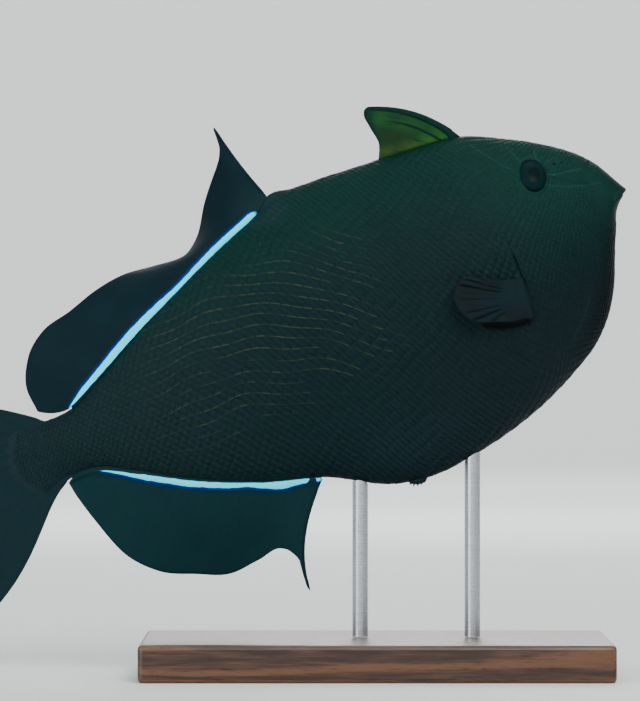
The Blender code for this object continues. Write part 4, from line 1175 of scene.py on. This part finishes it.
def makeEye(name, side, material):
    rings, segments = eye["rings"], eye["segments"]
    turn = np.linspace(0, 2 * math.pi, segments, endpoint=False)
    tilt = np.linspace(0, math.pi, rings + 1)[1:-1, None, None]
    tall, wide = eyeTall * eye["oval"] ** 0.4, np.cross(eyeAxis, eyeTall) / eye["oval"] ** 0.4
    centre = eyeCentre - eyeAxis * eye["sink"]
    pole = eyeAxis * eye["halfDepth"]
    around = np.cos(turn)[:, None] * tall + np.sin(turn)[:, None] * wide
    inner = centre + eye["radius"] * np.sin(tilt) * around + np.cos(tilt) * pole
    points = np.concatenate([[centre + pole], inner.reshape(-1, 3), [centre - pole]]) * (1, 1, -side)
    faces = gridFaces(rings - 1, segments, closed=True, start=1).tolist()
    last = len(points) - 1
    for k in range(segments):
        n = (k + 1) % segments
        faces += [[0, 1 + n, 1 + k], [last, last - segments + k, last - segments + n]]
    if side < 0:
        faces = [f[::-1] for f in faces]
    made = makeObject(name, inScene(points), faces, material)
    share = np.concatenate([[0], np.repeat(np.sin(tilt), segments), [0]])
    share[1 + segments * (rings // 2):] = 1.2  # its unseen rear half
    setFloat(made, "fromAxis", share)
    setFloat(made, "roundAxis", np.concatenate([[0], np.tile(np.abs(turn - math.pi), rings - 1), [0]]))
    return made


pelvic = {
    "start": 95.0, "length": 7.0, "radius": 1.35, "sunk": 1.9, "barbs": 14, "around": 28,
    "size": [(0, 0.35), (0.12, 0.7), (0.35, 1.0), (0.65, 0.95), (0.88, 0.6), (1, 0.22)],
    "seed": 5,
}


def makePelvicSpine(material):
    # a rough blunt knob with short barbs that point back
    share = np.linspace(0, 1, 25)
    count = pelvic["around"]
    radius = pelvic["radius"] * curveThrough(pelvic["size"])(share)[:, 0]
    u = pelvic["start"] + pelvic["length"] * share
    middle = bellyEdge(u) - radius - 0.8 * share ** 2 + pelvic["sunk"]
    turns = np.linspace(0, 2 * math.pi, count, endpoint=False)
    draw = np.random.default_rng(pelvic["seed"])
    r = radius[:, None] * (1 + 0.05 * draw.standard_normal((len(share), count)))
    v = middle[:, None] + r * np.cos(turns)
    points = np.stack([u[:, None] + 0 * r, v, r * np.sin(turns)], -1).reshape(-1, 3)
    faces = gridFaces(len(share), count, closed=True).tolist()
    faces += [list(range(count - 1, -1, -1)), list(range(len(points) - count, len(points)))]
    knob = makeObject("pelvic_knob", inScene(points), faces, material)
    lines = []
    for k in range(pelvic["barbs"]):
        s = 0.12 + 0.76 * k / (pelvic["barbs"] - 1)
        turn = math.pi + (-0.95, 0.95, 0)[k % 3]
        out = np.array([0, math.cos(turn), math.sin(turn)])
        base = np.array([pelvic["start"] + pelvic["length"] * s, np.interp(s, share, middle), 0])
        base += 0.8 * np.interp(s, share, radius) * out
        lines.append((np.linspace(base, base + (0.9, 0, 0) + 0.75 * out, 4), [0.34, 0.26, 0.16, 0.04]))
    return knob, makeBars("pelvic_barbs", lines, material, sides=7)


# Build

materials = {
    "skin": paintedSkin("satinScaledSkin"),
    "dorsal": finMembrane("stripedFinSkin", "membrane", striped=True),
    "anal": finMembrane("stripedAnalFinSkin", "anal", striped=True, tint="analTint"),
    "caudal": finMembrane("tailFinSkin", "caudal", margin=0.85),
    "pectoral": finMembrane("pectoralFinSkin", "pectoral", tint="pectoralLine"),
    "rays": finMembrane("finRaySkin", "rays"),
    "spiny": olivePaintedFin("oliveFinSkin"),
    "spines": finMembrane("spineSkin", "spines", tint="spines"),
    "eye": wetEye("wetEye"),
    "base": varnishedWalnut("varnishedWalnut"),
    "rod": brushedSteel("brushedSteel"),
}

print("skin")
skinPiece = makeSkin(materials["skin"])
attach(skinPiece, "root")
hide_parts("head", "torso", "tail_stalk")

print("scales")
for piece in makeScales(materials["skin"]):
    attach(piece, "root")

print("fins")
fins = {
    "soft_dorsal_fin": (*makeStripedFin("soft_dorsal", softDorsal, materials["dorsal"], materials["rays"]), "fin"),
    "anal_fin": (*makeStripedFin("anal", anal, materials["anal"], materials["rays"]), "fin"),
    "caudal_fin": (*makeTailFin(materials["caudal"], materials["rays"]), "fin"),
    "pectoral_fin_right": (*makePectoralFin("right", materials["pectoral"]), "fin"),
    "pectoral_fin_left": (*makePectoralFin("left", materials["pectoral"]), "fin"),
    "first_dorsal_fin": (*makeSpinyFin(materials["spiny"], materials["spines"]), "spiny_fin"),
}
for node, (sheet, bars, slot) in fins.items():
    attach(sheet, "root")
    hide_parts(node)
    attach(bars, "root")

print("eyes and pelvic spine")
for name, side in (("eye_right", -1), ("eye_left", 1)):
    piece = makeEye(name + "_ball", side, materials["eye"])
    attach(piece, "root")
    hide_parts(name)
knob, barbs = makePelvicSpine(materials["skin"])
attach(knob, "root")
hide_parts("pelvic_spine")
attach(barbs, "root")

print("stand")
for node, material in (("stand_base", "base"), ("stand_rod_front", "rod"), ("stand_rod_rear", "rod")):
    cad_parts[node].data.materials.clear()
    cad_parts[node].data.materials.append(materials[material])


# Stage, light and camera

stage = {
    "floor": "#E6E8E8",
    "fleck": "#D6D8D8",
    "floorRadius": 3.2,  # the backdrop goes all round, further out than any view's camera
    "curveRadius": 0.9,
    "wallTop": 4.5,
    "segments": 96,
    "distance": 1.7,
    "lensHeight": 225.0,
    "middle": (-17.9, 104.1),
    "sky": "#F4F7F8",
    "skyStrength": 0.75,
    "target": (-0.02, 0, 0.1),
    # each light as (name, place, size, power, colour)
    "lights": [
        ("keyLight", (0.4, -1.3, 1.0), 0.9, 20, (1, 0.99, 0.97)),
        ("fillLight", (-0.9, -1.2, 0.35), 1.0, 12, (0.95, 0.98, 1)),
        ("topLight", (0, 0.2, 1.7), 1.2, 6, (1, 1, 1)),
        ("leftLight", (0.1, 1.5, 0.9), 0.9, 11, (1, 1, 1)),
    ],
}


def paperBackdrop(name):
    # Matt paper from a roll: even, with a faint fleck
    made, tree, shader = newMaterial(name)
    place = addNode(tree, "ShaderNodeTexCoord").outputs["Object"]
    fleck = addNode(tree, "ShaderNodeTexNoise", {"Vector": place, "Scale": 300.0}).outputs["Fac"]
    colour = paintOver(tree, stage["floor"], stage["fleck"], [(fleck, 0.4, 0.6)], 0.04)
    tree.links.new(colour, shader.inputs["Base Color"])
    shader.inputs["Roughness"].default_value = 0.9
    return made


def makeStage():
    count = stage["segments"]
    turns = np.linspace(0, 2 * math.pi, count, endpoint=False)
    flat, bend = stage["floorRadius"], stage["curveRadius"]
    rises = np.linspace(0.1, math.pi / 2, 14)
    profile = [(flat, 0), *((flat + bend * math.sin(a), bend * (1 - math.cos(a))) for a in rises)]
    profile.append((flat + bend, stage["wallTop"]))
    points = [(0, 0, 0)] + [(r * math.cos(t), r * math.sin(t), z) for r, z in profile for t in turns]
    faces = [[0, 1 + k, 1 + (k + 1) % count] for k in range(count)]
    faces += gridFaces(len(profile), count, closed=True, start=1)[:, ::-1].tolist()
    makeObject("floor", points, faces, paperBackdrop("paperBackdrop"))


def addLight(name, place, size, power, colour, target=stage["target"]):
    lamp = bpy.data.lights.new(name, "AREA")
    lamp.shape = "DISK"
    lamp.size, lamp.energy, lamp.color = size, power, colour
    made = bpy.data.objects.new(name, lamp)
    made.location = place
    made.rotation_euler = (Vector(target) - Vector(place)).to_track_quat("-Z", "Y").to_euler()
    bpy.context.scene.collection.objects.link(made)


def makeCamera():
    x, z = (value / 1000 for value in stage["middle"])
    lens = bpy.data.cameras.new("camera")
    lens.sensor_fit = "AUTO"
    lens.sensor_width = 36.0
    lens.lens = lens.sensor_width * stage["distance"] * 1000 / stage["lensHeight"]
    lens.clip_end = 20
    made = bpy.data.objects.new("camera", lens)
    made.location = (x, -stage["distance"], z)
    made.rotation_euler = (math.pi / 2, 0, 0)
    bpy.context.scene.collection.objects.link(made)
    bpy.context.scene.camera = made


makeStage()
for light in stage["lights"]:
    addLight(*light)
addLight("backdropLight", (0, 1.7, 1.5), 1.2, 42, (1, 1, 1), target=(0, 4.1, 0.3))
world = bpy.data.worlds.new("studio")
world.use_nodes = True
world.node_tree.nodes["Background"].inputs["Color"].default_value = hexColour(stage["sky"])
world.node_tree.nodes["Background"].inputs["Strength"].default_value = stage["skyStrength"]
bpy.context.scene.world = world
makeCamera()


print("done")
